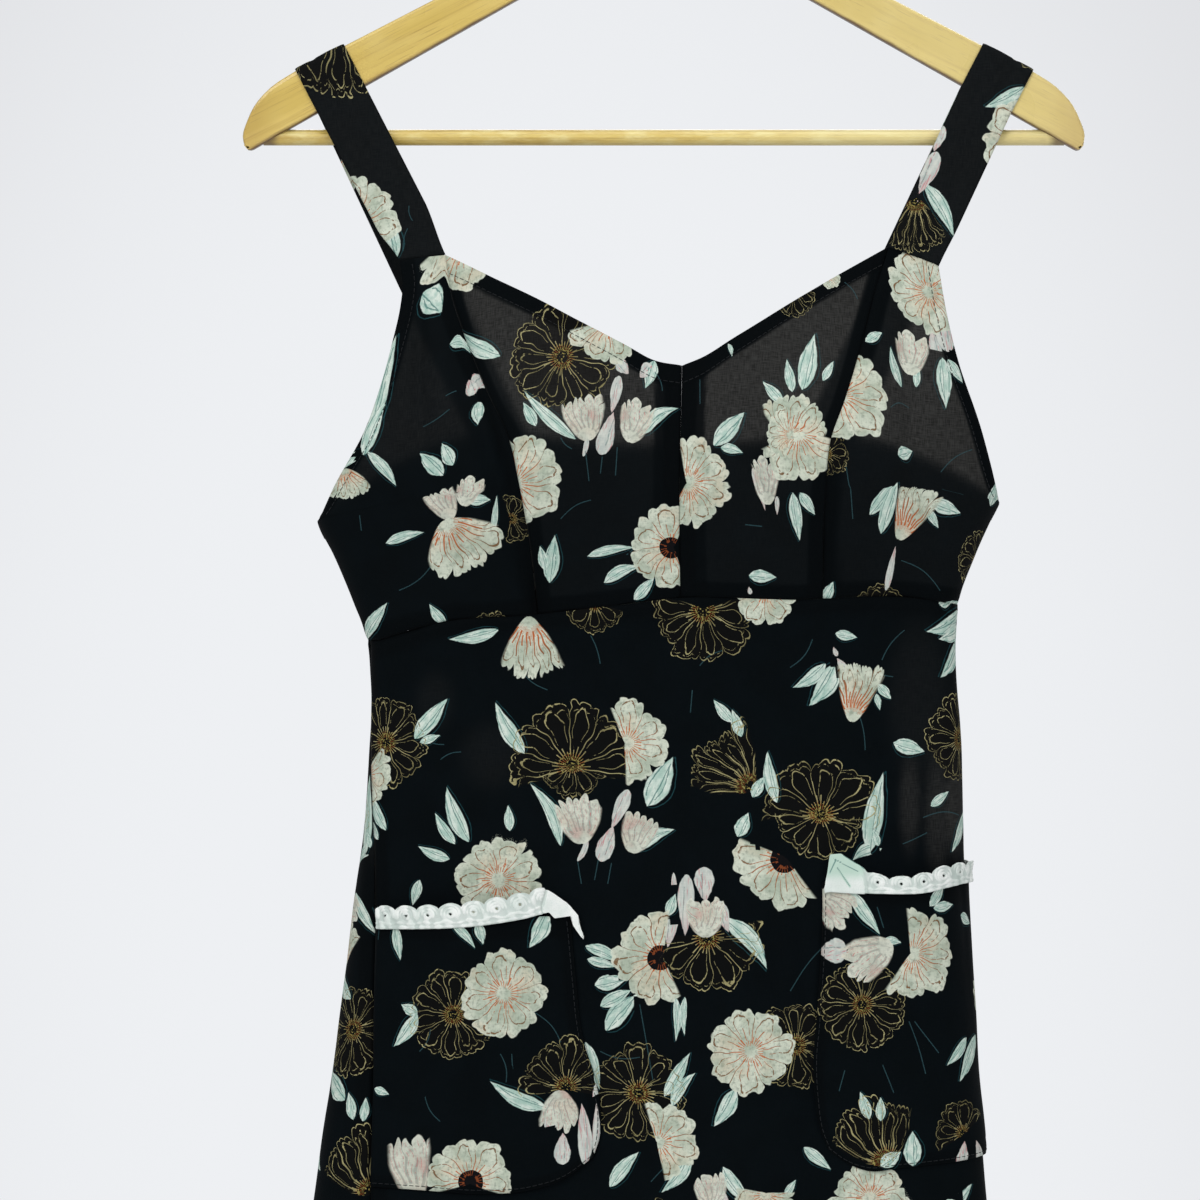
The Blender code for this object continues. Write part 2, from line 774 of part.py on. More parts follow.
def hanger_arms(parts, cutters, material):
    """Both arms in one flat piece of wood, with sockets for the bar and the hook."""
    right = list(ARM_OUTLINE)
    left = [(-x, z, after, before) for x, z, before, after in reversed(ARM_OUTLINE[1:-1])]
    outline = bpy.data.curves.new("hanger_arms", "CURVE")
    outline.dimensions = "2D"
    outline.fill_mode = "BOTH"
    outline.resolution_u = 4
    outline.extrude = ARM_THICKNESS / 2 * METRES
    spline = outline.splines.new("BEZIER")
    spline.bezier_points.add(len(right) + len(left) - 1)
    spline.use_cyclic_u = True
    for point, (x, z, before, after) in zip(spline.bezier_points, right + left):
        point.co = (x * METRES, z * METRES, 0)
        point.handle_left_type = before
        point.handle_right_type = after
    flat = bpy.data.objects.new("hanger_outline", outline)
    flat.rotation_euler = (math.pi / 2, 0, 0)
    parts.objects.link(flat)
    bpy.context.view_layer.update()
    arms = curve_as_mesh("hanger_arms", flat, parts, material)
    rounding = arms.modifiers.new("Rounded edges", "BEVEL")
    rounding.width = ARM_EDGE_ROUNDING * METRES
    rounding.segments = 2
    rounding.limit_method = "ANGLE"
    rounding.angle_limit = math.radians(50)  # only the edges between a flat face and the outline
    rounding.use_clamp_overlap = False
    reach = BAR_REACH + SOCKET_PLAY
    bore = BAR_RADIUS + SOCKET_PLAY
    socket = cylinder("bar_socket", bore, 2 * reach, 20, BAR_HEIGHT, LENGTHWISE, cutters)
    depth = HOOK_SINK + SOCKET_PLAY
    hole = cylinder("hook_hole", WIRE_RADIUS + SOCKET_PLAY, 2 * depth, 12, CROWN, UPRIGHT, cutters)
    for cutter in (socket, hole):
        cutter.hide_render = True
        cutter.display_type = "WIRE"
        cut = arms.modifiers.new(cutter.name, "BOOLEAN")
        cut.operation = "DIFFERENCE"
        cut.object = cutter
    arms.data.set_sharp_from_angle(angle=math.radians(35))
    return arms


def hook_line():
    """Middle of the hook's wire: round the rail, back under it in as wide a bend, and into the wood."""
    radius = HOOK_RADIUS + WIRE_RADIUS
    centre = -HOOK_RADIUS
    # Seen from one bend's centre, the other's is 60 degrees below the level, so the two arcs join smoothly.
    neck = centre - radius * math.sqrt(3)
    over = np.radians(np.linspace(HOOK_TIP, -60, 27))
    under = np.radians(np.linspace(120, 180, 7)[1:])
    line = [(radius * math.cos(a), centre + radius * math.sin(a)) for a in over]
    line += [(radius + radius * math.cos(a), neck + radius * math.sin(a)) for a in under]
    return line + [(0.0, CROWN - HOOK_SINK)]


def hanger_hook(parts, material):
    wire = bpy.data.curves.new("hanger_hook", "CURVE")
    wire.dimensions = "3D"
    wire.bevel_depth = WIRE_RADIUS * METRES
    wire.bevel_resolution = 2
    wire.use_fill_caps = True
    wire.materials.append(material)
    line = hook_line()
    spline = wire.splines.new("POLY")
    spline.points.add(len(line) - 1)
    for point, (x, z) in zip(spline.points, line):
        point.co = (x * METRES, 0, z * METRES, 1)
    hook = bpy.data.objects.new("hanger_hook", wire)
    parts.objects.link(hook)
    return hook


# ---- The object --------------------------------------------------------------------------------------

BLACK_PRINT = (0.012, 0.014, 0.018)
WHITE_LACE = (0.82, 0.84, 0.82)
HONEY_WOOD = (0.62, 0.42, 0.17)
STEEL = (0.72, 0.72, 0.74)


def build():
    clear_scene()
    parts = new_collection("sundress_on_hanger")
    cutters = new_collection("cutters")

    panels = {
        "bodice_side_left": (dress(*bodice_side("left")), CLOTH),
        "bodice_centre_left": (dress(*bodice_centre("left")), CLOTH),
        "bodice_centre_right": (dress(*bodice_centre("right")), CLOTH),
        "bodice_side_right": (dress(*bodice_side("right")), CLOTH),
        "bodice_back": (dress(*bodice_back()), CLOTH),
        "skirt_front": (dress(*skirt_panel(left_seam, right_seam, 30)), CLOTH),
        "skirt_back": (dress(*skirt_panel(right_seam, left_seam_from_behind, 26)), CLOTH),
        "strap_left": (strap_points("left"), STRAP_CLOTH),
        "strap_right": (strap_points("right"), STRAP_CLOTH),
        "pocket_left": (pocket_points("left"), CLOTH),
        "pocket_right": (pocket_points("right"), CLOTH),
    }
    for name, (points, thickness) in panels.items():
        cloth = finish_of(name, BLACK_PRINT, 0.8)
        ends = STRAP_END_INSET if name.startswith("strap") else SEAM_INSET
        sheet_object(name, inset(points, SEAM_INSET, ends), thickness, cloth, parts)
    for side in ("left", "right"):
        name = f"pocket_trim_{side}"
        sheet_object(name, trim_points(side), CLOTH, finish_of(name, WHITE_LACE, 0.85), parts)

    hanger_arms(parts, cutters, finish_of("hanger_arms", HONEY_WOOD, 0.35))
    bar = cylinder("hanger_bar", BAR_RADIUS, 2 * BAR_REACH, 16, BAR_HEIGHT, LENGTHWISE, parts)
    bar.data.materials.append(finish_of("hanger_bar", HONEY_WOOD, 0.4))
    bar.data.shade_smooth()
    bar.data.set_sharp_from_angle(angle=math.radians(35))
    hanger_hook(parts, finish_of("hanger_hook", STEEL, 0.25, 1.0))


build()
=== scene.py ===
"""The cotton sundress on its wooden hanger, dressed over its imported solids.

Run by Blender. Tables and lengths are in millimetres and turned into metres where a mesh is made. Angles
round the dress are in degrees: -90 at its left edge as seen from the front, 0 at the middle of the front, 90
at the right edge, 180 behind.
"""

import math

import bmesh
import bpy
import numpy as np
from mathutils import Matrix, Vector


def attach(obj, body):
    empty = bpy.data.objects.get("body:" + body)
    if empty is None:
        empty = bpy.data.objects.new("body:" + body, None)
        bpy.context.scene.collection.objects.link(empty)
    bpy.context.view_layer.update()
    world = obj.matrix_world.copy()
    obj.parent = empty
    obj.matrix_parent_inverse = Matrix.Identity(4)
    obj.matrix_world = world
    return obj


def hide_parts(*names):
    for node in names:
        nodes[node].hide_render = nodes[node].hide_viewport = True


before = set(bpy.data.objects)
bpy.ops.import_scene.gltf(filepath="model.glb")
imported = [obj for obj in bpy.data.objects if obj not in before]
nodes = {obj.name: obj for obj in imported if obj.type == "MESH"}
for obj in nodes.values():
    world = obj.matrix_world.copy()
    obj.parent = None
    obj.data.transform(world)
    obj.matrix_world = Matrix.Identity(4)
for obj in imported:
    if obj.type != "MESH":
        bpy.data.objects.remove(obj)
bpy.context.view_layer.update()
scene = bpy.context.scene
METRES = 0.001

# ---- Studio ------------------------------------------------------------------------------------------
# A pale floor below the hem, a pale room all round, and large soft lights. The camera looks level at the
# bodice and the top of the skirt from straight in front, as the picture does.

scene.view_settings.view_transform = "Standard"


def shade(red, green, blue):
    """The colour that shows as these 0-255 values on a screen."""
    return tuple(
        c / 12.92 if c <= 0.04045 else ((c + 0.055) / 1.055) ** 2.4
        for c in (red / 255, green / 255, blue / 255)
    )


FLOOR_LEVEL = -1.28
floor_mesh = bmesh.new()
bmesh.ops.create_circle(floor_mesh, cap_ends=True, segments=96, radius=3.2)
floor_data = bpy.data.meshes.new("floor")
floor_mesh.to_mesh(floor_data)
floor_mesh.free()
floor = bpy.data.objects.new("floor", floor_data)
floor.location.z = FLOOR_LEVEL
scene.collection.objects.link(floor)
floor_paint = bpy.data.materials.new("pale floor")
floor_paint.use_nodes = True
floor_shader = floor_paint.node_tree.nodes["Principled BSDF"]
floor_shader.inputs["Base Color"].default_value = (*shade(226, 227, 228), 1)
floor_shader.inputs["Roughness"].default_value = 0.9
floor_data.materials.append(floor_paint)

SOFT_LIGHTS = (
    # name, place, size, power, in metres and watts; each faces the bodice
    ("window_light", (-1.7, -3.0, 1.3), 2.4, 56),
    ("front_fill", (1.9, -3.2, 0.2), 2.2, 28),
    ("top_light", (0.1, -0.5, 2.2), 1.8, 20),
    ("back_fill", (0.6, 3.2, 0.9), 2.4, 40),
)
LIT_PLACE = Vector((0.0, 0.0, -0.46))
for name, place, size, power in SOFT_LIGHTS:
    lamp = bpy.data.lights.new(name, "AREA")
    lamp.size = size
    lamp.energy = power
    holder = bpy.data.objects.new(name, lamp)
    holder.location = place
    holder.rotation_euler = (holder.location - LIT_PLACE).to_track_quat("Z", "Y").to_euler()
    scene.collection.objects.link(holder)

CAMERA_DISTANCE = 5.0
VIEW_WIDTH = 0.64
VIEW_CENTRE = (-0.0341, -0.4481)
TRUE_SCALE_PLANE = 0.014  # the dress is this far in front of the hanger's plane, about half way to its front
camera_data = bpy.data.cameras.new("camera")
camera_data.sensor_width = 36.0
camera_data.lens = camera_data.sensor_width * (CAMERA_DISTANCE - TRUE_SCALE_PLANE) / VIEW_WIDTH
camera_data.clip_end = 60.0
camera = bpy.data.objects.new("camera", camera_data)
camera.location = (VIEW_CENTRE[0], -CAMERA_DISTANCE, VIEW_CENTRE[1])
camera.rotation_euler = (math.radians(90), 0, 0)
scene.collection.objects.link(camera)
scene.camera = camera


def feed(tree, slot, value):
    """Puts a number, a colour or another node's output into a node's input."""
    if isinstance(value, Wire):
        tree.links.new(value.socket, slot)
    elif slot.type == "RGBA" and len(value) == 3:
        slot.default_value = (*value, 1)
    else:
        slot.default_value = value


def add(tree, kind, *values, out=0, **settings):
    """Adds a node with these settings and these values in its inputs, in order, and gives its output."""
    made = tree.nodes.new("ShaderNode" + kind)
    for setting, value in settings.items():
        setattr(made, setting, value)
    for slot, value in zip(made.inputs, values):
        if value is not None:
            feed(tree, slot, value)
    return Wire(tree, made.outputs[out])


class Wire:
    """A value on its way through a material's nodes. Sums with it add Math nodes."""

    def __init__(self, tree, socket):
        self.tree, self.socket = tree, socket

    def math(self, operation, *others):
        return add(self.tree, "Math", self, *others, operation=operation)

    def __add__(self, other):
        return self.math("ADD", other)

    def __mul__(self, other):
        return self.math("MULTIPLY", other)

    def __sub__(self, other):
        return self.math("SUBTRACT", other)

    def __rsub__(self, other):
        return (self * -1.0) + other

    def __truediv__(self, other):
        return self.math("DIVIDE", other)

    def __rtruediv__(self, other):
        return (self**-1.0) * other

    def __pow__(self, other):
        return self.math("POWER", other)

    def __abs__(self):
        return self.math("ABSOLUTE")

    def __lt__(self, other):
        return self.math("LESS_THAN", other)

    def __gt__(self, other):
        return self.math("GREATER_THAN", other)

    __radd__, __rmul__ = __add__, __mul__

    def parts(self):
        """The three numbers of a vector."""
        split = add(self.tree, "SeparateXYZ", self).socket.node
        return [Wire(self.tree, socket) for socket in split.outputs]

    def rise(self, low, high, start=0.0, end=1.0):
        """From start at low to end at high, eased at both ends."""
        return add(self.tree, "MapRange", self, low, high, start, end, interpolation_type="SMOOTHSTEP")


def vector(tree, x, y, z):
    return add(tree, "CombineXYZ", x, y, z)


def mixed(tree, share, first, second):
    """The first colour, and the second where share is 1."""
    colours = (None,) * 5 + (first, second)
    return add(tree, "Mix", share, *colours, out=2, data_type="RGBA")


def painted(tree, colour, *coats):
    """A colour with coats laid over it in turn, each a share and the 0-255 values of its own colour."""
    for share, *values in coats:
        colour = mixed(tree, share, colour, shade(*values))
    return colour


def noise(tree, place, scale, detail, roughness=0.5):
    return add(tree, "TexNoise", place, None, scale, detail, roughness)


room = bpy.data.worlds.new("pale room")
scene.world = room
room.use_nodes = True
sky = room.node_tree
# Straight behind the dress the wall is brightest; it darkens a little up into the corners.
side, _, up = add(sky, "TexCoord").parts()
corner = (abs(side + 0.004) / 0.07) ** 2.0 + ((up + 0.03).math("MAXIMUM", 0.0) / 0.11) ** 2.0
wall = mixed(sky, corner.rise(0.2, 2.2), shade(238, 240, 243), shade(222, 223, 226))
lit = mixed(sky, add(sky, "LightPath"), (0.34, 0.345, 0.355), wall)
feed(sky, sky.nodes["Background"].inputs["Color"], lit)

# ---- Hanger's arms -----------------------------------------------------------------------------------
# One flat piece of honey-lacquered hardwood, sawn to a gull-wing outline and rounded over along its edges.
# The grain runs out along each arm. Its lower edge is painted dark brown, as painted shade where it turns
# under away from the light, and the varnish is a little rougher there.


def effect(name, inputs, outputs):
    """A new shader node group: the group, its inputs as wires, and a function that closes its outputs."""
    group = bpy.data.node_groups.new(name, "ShaderNodeTree")
    for in_out, sockets in (("INPUT", inputs), ("OUTPUT", outputs)):
        for socket_name, kind in sockets.items():
            group.interface.new_socket(name=socket_name, in_out=in_out, socket_type="NodeSocket" + kind)
    start = group.nodes.new("NodeGroupInput")
    end = group.nodes.new("NodeGroupOutput")
    given = [Wire(group, start.outputs[socket_name]) for socket_name in inputs]

    def give(*values):
        for slot, value in zip(end.inputs, values):
            feed(group, slot, value)

    return group, given, give


def use(tree, group, **values):
    """Places a node group and gives its outputs, in order. A word's underscores stand for spaces."""
    placed = tree.nodes.new("ShaderNodeGroup")
    placed.node_tree = group
    for socket_name, value in values.items():
        feed(tree, placed.inputs[socket_name.replace("_", " ")], value)
    return [Wire(tree, socket) for socket in placed.outputs]


def material(name, **steady):
    """A new material: its node tree and its shader's inputs, with the same steady values all over."""
    made = bpy.data.materials.new(name)
    made.use_nodes = True
    shader = made.node_tree.nodes["Principled BSDF"]
    for socket_name, value in steady.items():
        shader.inputs[socket_name.replace("_", " ")].default_value = value
    return made, made.node_tree, shader.inputs


def finish(tree, inputs, colour, roughness, height, strength, distance):
    """Feeds a shader its colour, roughness and surface height, whose range is this distance in metres."""
    feed(tree, inputs["Base Color"], colour)
    feed(tree, inputs["Roughness"], roughness)
    bump = tree.nodes.new("ShaderNodeBump")
    bump.inputs["Strength"].default_value = strength
    bump.inputs["Distance"].default_value = distance
    feed(tree, bump.inputs["Height"], height)
    tree.links.new(bump.outputs["Normal"], inputs["Normal"])


lacquered_wood, (lengthwise, crosswise, through), give = effect(
    "lacquered wood",
    {"Lengthwise": "Float", "Crosswise": "Float", "Through": "Float"},
    {"Colour": "Color", "Roughness": "Float", "Height": "Float"},
)
tree = lacquered_wood
fibres = noise(tree, vector(tree, lengthwise * 9.0, crosswise * 330.0, through * 330.0), 1.0, 5.0, 0.62)
bands = noise(tree, vector(tree, lengthwise * 3.5, crosswise * 62.0, through * 62.0), 1.0, 3.0)
pore_place = vector(tree, lengthwise * 60.0, crosswise * 1500.0, through * 1500.0)
pores = noise(tree, pore_place, 1.0, 1.0).rise(0.62, 0.72)
patches = noise(tree, vector(tree, lengthwise, crosswise, through), 26.0, 2.0)
honey = painted(
    tree,
    shade(236, 208, 118),
    (bands.rise(0.32, 0.68), 216, 186, 92),
    (fibres.rise(0.46, 0.74) * 0.65, 186, 150, 68),
    (patches.rise(0.55, 0.8) * 0.35, 248, 230, 156),
    (pores * 0.35, 140, 96, 44),
)
give(honey, patches.rise(0.3, 0.75, 0.24, 0.4), fibres * 0.7 + pores * -0.3)

ARM_EDGE = ((66.0, -98.0), (197.0, -165.6))  # across and height of the arm's straight upper edge
ARM_SLOPE = math.atan2(ARM_EDGE[0][1] - ARM_EDGE[1][1], ARM_EDGE[1][0] - ARM_EDGE[0][0])
LOWER_EDGE = ((78.0, -127.2), (220.8, -208.0))  # and of its straight lower edge


def arms_finish():
    made, tree, inputs = material("honey lacquer", Coat_Weight=0.55, Coat_Roughness=0.16)
    across, deep, height = add(tree, "TexCoord", out=3).parts()
    outward = abs(across)
    along = outward * math.cos(ARM_SLOPE) - height * math.sin(ARM_SLOPE)
    aside = outward * math.sin(ARM_SLOPE) + height * math.cos(ARM_SLOPE)
    colour, roughness, grain = use(
        tree, lacquered_wood, Lengthwise=across * 0.4 + along, Crosswise=aside, Through=deep
    )
    # Painted shade darkens the lower edge, where it turns under away from the light; it is rougher there too.
    (x0, z0), (x1, z1) = LOWER_EDGE
    length = math.hypot(x1 - x0, z1 - z0)
    off_edge = (outward - x0 * METRES) * ((z0 - z1) / length)
    off_edge += (height - z0 * METRES) * ((x1 - x0) / length)
    uneven = noise(tree, vector(tree, along * 60.0, aside * 200.0, deep * 200.0), 1.0, 3.0) * 0.0016
    wear_and_edge_shade = (off_edge + uneven).rise(0.0009, 0.0027, 1.0, 0.0)
    # Painted light: the right arm is lighter, where the light falls on it.
    colour = painted(
        tree,
        colour,
        (across.rise(-0.02, 0.16) * 0.34, 250, 238, 178),
        (wear_and_edge_shade * 0.95, 98, 64, 26),
        (outward.rise(0.2, 0.224) * 0.25, 150, 104, 52),
    )
    finish(tree, inputs, colour, roughness + wear_and_edge_shade * 0.2, grain, 0.16, 0.0004)
    return made


for spot in nodes["hanger_arms"].material_slots:
    spot.material = arms_finish()

# ---- Hanger's bar ------------------------------------------------------------------------------------
# A round dowel between the arms' tips, of paler, yellower wood with a blotchy varnish, pushed into a socket
# drilled in each tip. It is painted dark where it goes into a socket, as painted shade, darker on its lower
# side, as painted shade, and lighter on its right half, as painted light.

BAR_MIDDLE = -0.2008  # its height, in metres
BAR_INSET = 0.207  # the dowel goes into the arms this far from the middle, in metres


def bar_finish():
    made, tree, inputs = material("dowel varnish", Coat_Weight=0.4, Coat_Roughness=0.2)
    across, deep, height = add(tree, "TexCoord", out=3).parts()
    colour, roughness, grain = use(tree, lacquered_wood, Lengthwise=across, Crosswise=height, Through=deep)
    blotches = noise(tree, vector(tree, across * 55.0, deep * 190.0, height * 190.0), 1.0, 4.0, 0.6)
    # Painted shade: dark where the dowel goes into each socket.
    dark = (abs(across) + blotches * 0.006).rise(BAR_INSET, BAR_INSET + 0.006)
    # Painted shade on its lower side and painted light on its right half, over the blotchy varnish.
    colour = painted(
        tree,
        colour,
        (blotches.rise(0.42, 0.72) * 0.7, 252, 238, 168),
        (blotches.rise(0.3, 0.42, 1.0, 0.0) * 0.6, 186, 156, 72),
        (height.rise(BAR_MIDDLE + 0.002, BAR_MIDDLE - 0.006) * 0.5, 150, 122, 56),
        (across.rise(0.0, 0.12) * 0.4, 252, 244, 188),
        (dark * 0.75, 84, 52, 22),
    )
    finish(tree, inputs, colour, roughness + 0.06, blotches * 0.6 + grain * 0.4, 0.3, 0.0006)
    return made


nodes["hanger_bar"].material_slots[0].material = bar_finish()

# ---- Hanger's hook -----------------------------------------------------------------------------------
# Bright steel wire, bent round the rail and pushed into the crown of the arms. It is faintly drawn
# lengthwise and a little smeared where it is handled.


def hook_finish():
    made, tree, inputs = material("bright steel wire", Metallic=1.0)
    place = add(tree, "TexCoord", out=3)
    smears = noise(tree, place, 140.0, 3.0)
    scratches = noise(tree, place, 2600.0, 1.0)
    colour = mixed(tree, smears, shade(206, 207, 210), shade(182, 184, 188))
    finish(tree, inputs, colour, smears.rise(0.3, 0.7, 0.16, 0.32), scratches, 0.1, 0.0001)
    return made


nodes["hanger_hook"].material_slots[0].material = hook_finish()

# ---- Skirt -------------------------------------------------------------------------------------------
# Two panels of fine black cotton, printed with flowers before it was cut. They are joined at the side seams
# and sewn to the bodice at the waist, flare to the hem, and fall in a few soft folds.

SEAM_INSET = 0.1  # each panel ends this far short of its seam line
HEM = -1110.0
SQUARENESS = 0.25  # 0 makes a section of the dress an ellipse, more makes it boxier
WAIST_LEVEL = -455.0

FORM = (
    # height, left edge, right edge, reach in front of and behind the hanger's plane
    (-1110, -232.0, 196.0, 46, 44), (-940, -209.0, 185.0, 41, 39), (-766, -187.0, 172.5, 36, 34),
    (-672, -173.5, 164.2, 33, 31), (-604, -164.2, 161.0, 31, 29), (-536, -158.0, 159.3, 28, 26),
    (-490, -156.7, 156.3, 26, 24), (-469, -158.8, 156.2, 26, 24), (-450, -165.5, 157.4, 27, 24),
    (-424, -176.4, 166.3, 30, 26), (-406, -185.0, 174.5, 32, 27), (-396.4, -186.0, 179.1, 33, 27),
    (-360, -186.0, 182.0, 34, 27), (-310, -178.0, 178.0, 29, 24), (-262, -168.0, 170.0, 20, 18),
)

CUPS = (
    # across, height, half width, half height, fullness
    (-86, -372, 50, 58, 17), (86, -372, 50, 58, 17),
)

FOLD_RUN_ON = 0.25  # a fold of the bodice fades out over this share of its length past each end
BODICE_FOLDS = (
    # top across, top height, bottom across, bottom height, half width, depth
    (-112, -300, -69, -450, 9, 8),  # deep fold beside the left princess seam
    (-131, -285, -128, -372, 7, 4),  # from the left strap down past the armhole
    (44, -352, 52, -412, 9, 4),  # under the right cup
    (128, -288, 131, -380, 8, 3),  # from the right strap
)

FOLD_OPENING = 1.3  # above 1, a fold of the skirt opens slowly at first and faster towards the hem
SKIRT_FOLDS = (
    # angle, height where it starts, half width in degrees, depth at the hem; a trough is positive
    (-52, -760, 9, -7), (-11, -560, 7, 15), (7, -600, 8, -6), (24, -560, 7, 14), (58, -640, 9, -8),
    (140, -620, 9, 13), (163, -600, 9, -6), (182, -560, 8, 14), (205, -640, 9, -6), (224, -600, 9, 13),
)

WAIST_FRONT = (
    # across, height of the waist seam
    (-157.0, -469.4), (-120.5, -460.0), (-71.4, -456.0), (-23.5, -450.8), (9.1, -447.0), (69.3, -448.0),
    (126.3, -446.6), (157.0, -450.4),
)

WAIST_BACK = (
    # angle, height of the waist seam
    (90, -450.4), (135, -455.0), (180, -459.0), (225, -464.0), (270, -469.4),
)

SKIRT_SEAMS = (
    # height, angle of the left and of the right side seam; the front is turned a little to the right
    (-1110, -37, 116), (-940, -43, 116), (-766, -48, 116), (-672, -54.6, 116), (-604, -62, 115),
    (-536, -75, 107), (-490, -86, 97), (-444, -90, 90),
)


def smooth(table, at):
    """The table's other columns where its first column is `at`, on a smooth curve through its rows."""
    rows = np.asarray(table, float)
    rows = rows[np.argsort(rows[:, 0])]
    key, values = rows[:, 0], rows[:, 1:]
    slope = np.gradient(values, key, axis=0)
    at = np.clip(np.asarray(at, float), key[0], key[-1])
    row = np.clip(np.searchsorted(key, at, side="right") - 1, 0, len(key) - 2)
    span = (key[row + 1] - key[row])[..., None]
    t = (at - key[row])[..., None] / span
    ease = t * t * (3 - 2 * t)
    return (
        values[row] * (1 - ease)
        + values[row + 1] * ease
        + slope[row] * span * t * (1 - t) ** 2
        - slope[row + 1] * span * t * t * (1 - t)
    )


def column(table, at):
    """The second column of a two-column table."""
    return smooth(table, at)[..., 0]


def share_across(angle):
    """How far across its section this angle lies, from -1 to 1."""
    turn = np.radians(angle)
    return np.sin(turn) * (1 + SQUARENESS * np.cos(turn) ** 2)


def share_deep(angle):
    """How far in front of the hanger's plane this angle lies, from -1 behind to 1."""
    turn = np.radians(angle)
    return np.cos(turn) * (1 + SQUARENESS * np.sin(turn) ** 2)


def bell(distance):
    return np.exp(-(distance**2))


def fold_depth(across, angle, height):
    """How far the cloth stands out at this place: the fullness of the cups less the depth of the folds."""
    facing = np.sqrt(np.clip(np.cos(np.radians(angle)), 0, 1))  # cups and bodice folds are in front only
    out = np.zeros(np.broadcast(across, height).shape)
    for x, z, half_width, half_height, fullness in CUPS:
        out += facing * fullness * bell(np.hypot((across - x) / half_width, (height - z) / half_height))
    for x0, z0, x1, z1, half_width, depth in BODICE_FOLDS:
        along = np.clip((height - z0) / (z1 - z0), -FOLD_RUN_ON, 1 + FOLD_RUN_ON)
        aside = across - (x0 + (x1 - x0) * along)
        fade = np.sin(np.pi * (along + FOLD_RUN_ON) / (1 + 2 * FOLD_RUN_ON))
        out -= facing * fade * depth * bell(aside / half_width)
    for place, start, half_width, depth in SKIRT_FOLDS:
        aside = (angle - place + 180) % 360 - 180
        growth = np.clip((start - height) / (start - HEM), 0, 1) ** FOLD_OPENING
        out -= growth * depth * bell(aside / half_width)
    return out


def dress(angle, height, out=0.0):
    """Point of the dress at this angle round it and this height, moved `out` off the cloth."""
    angle, height = np.broadcast_arrays(np.asarray(angle, float), np.asarray(height, float))
    left, right, front, back = np.moveaxis(smooth(FORM, height), -1, 0)
    half = (right - left) / 2
    deep = share_deep(angle)
    reach = np.where(deep > 0, front, back)
    x = (left + right) / 2 + half * share_across(angle)
    y = -reach * deep
    turn = np.radians(angle)
    side, face = np.sin(turn) * reach, -np.cos(turn) * half
    length = np.hypot(side, face)
    off = fold_depth(x, angle, height) + out
    return np.stack([x + side / length * off, y + face / length * off, height], -1)


TURNS = np.linspace(-90, 90, 361)


def front_angle(across, height):
    """Angle of the front where it lies this far across."""
    left, right, *_ = np.moveaxis(smooth(FORM, height), -1, 0)
    share = (across - (left + right) / 2) / ((right - left) / 2)
    return np.interp(share, share_across(TURNS), TURNS)


def waist(angle):
    """Height of the waist seam round the dress."""
    angle = np.asarray(angle, float) % 360
    across = dress(angle, WAIST_LEVEL)[..., 0]
    behind = (angle > 90) & (angle < 270)
    return np.where(behind, column(WAIST_BACK, angle), column(WAIST_FRONT, across))


def skirt_row(share_up, start, end, columns):
    """Angles and heights of one row of the skirt between two seams, evenly spaced along the cloth."""
    fine = np.linspace(0, 1, 361)
    middle = HEM + (WAIST_LEVEL - HEM) * share_up
    first, last = start(middle), end(middle)
    angle = first + (last - first) * fine
    height = HEM + (waist(angle) - HEM) * share_up
    place = dress(angle, height)
    run = np.concatenate([[0], np.cumsum(np.linalg.norm(np.diff(place, axis=0), axis=1))])
    spread = np.interp(np.linspace(0, 1, columns + 1), run / run[-1], angle)
    return spread, HEM + (waist(spread) - HEM) * share_up


def left_seam(height):
    return float(smooth(SKIRT_SEAMS, height)[..., 0])


def right_seam(height):
    return float(smooth(SKIRT_SEAMS, height)[..., 1])


def left_seam_from_behind(height):
    return left_seam(height) + 360


def skirt_panel(start, end, columns, rows):
    found = [skirt_row(share, start, end, columns) for share in np.linspace(0, 1, rows + 1)]
    return np.moveaxis(np.array(found), 1, 0)


def inset(points, sides, ends):
    """The sheet's points with its side edges, and its bottom and top edges, drawn in by these lengths."""
    points = points.copy()
    for sheet, amount in ((points, ends), (points.swapaxes(0, 1), sides)):
        for edge, inner in ((0, 1), (-1, -2)):
            inward = sheet[inner] - sheet[edge]
            sheet[edge] += inward / np.linalg.norm(inward, axis=-1, keepdims=True) * amount
    return points


def running_length(points, axis):
    """Length along the cloth to each point of a grid, up its columns (axis 0) or along its rows (axis 1)."""
    steps = np.linalg.norm(np.diff(points, axis=axis), axis=-1)
    start = np.zeros_like(steps.take([0], axis))
    return np.concatenate([start, np.cumsum(steps, axis=axis)], axis=axis)


def laid_flat(points):
    """Where each point lies on the flat cut, as across and up, counted from the middle of the bottom edge."""
    across, up = running_length(points, 1), running_length(points, 0)
    middle = points.shape[1] // 2
    across += (points[:, middle, 0] - across[:, middle])[:, None]
    return np.stack([across, up + points[:1, :, 2]], -1)


def moved_out(points, amount):
    """The grid's points moved off the cloth by these amounts, out on the side that shows."""
    normal = np.cross(np.gradient(points, axis=1), np.gradient(points, axis=0))
    return points + normal / np.linalg.norm(normal, axis=-1, keepdims=True) * amount[..., None]


def from_edges(points):
    """How far each point is from the left, right, bottom and top edges, along the cloth."""
    across, up = running_length(points, 1), running_length(points, 0)
    return across, across[:, -1:] - across, up, up[-1:] - up


def slack(flat, seed, depth):
    """The slight unevenness of washed cotton that was pressed and hung: broad, shallow waves."""
    chance = np.random.default_rng(seed)
    waves = np.zeros(flat.shape[:2])
    for _ in range(9):
        long_way, turn, start = chance.uniform(28, 90), chance.uniform(0, np.pi), chance.uniform(0, 6.3)
        ahead = flat[..., 0] * np.cos(turn) + flat[..., 1] * np.sin(turn) * 0.6
        waves += np.sin(ahead * 2 * np.pi / long_way + start) / 3
    return waves * depth


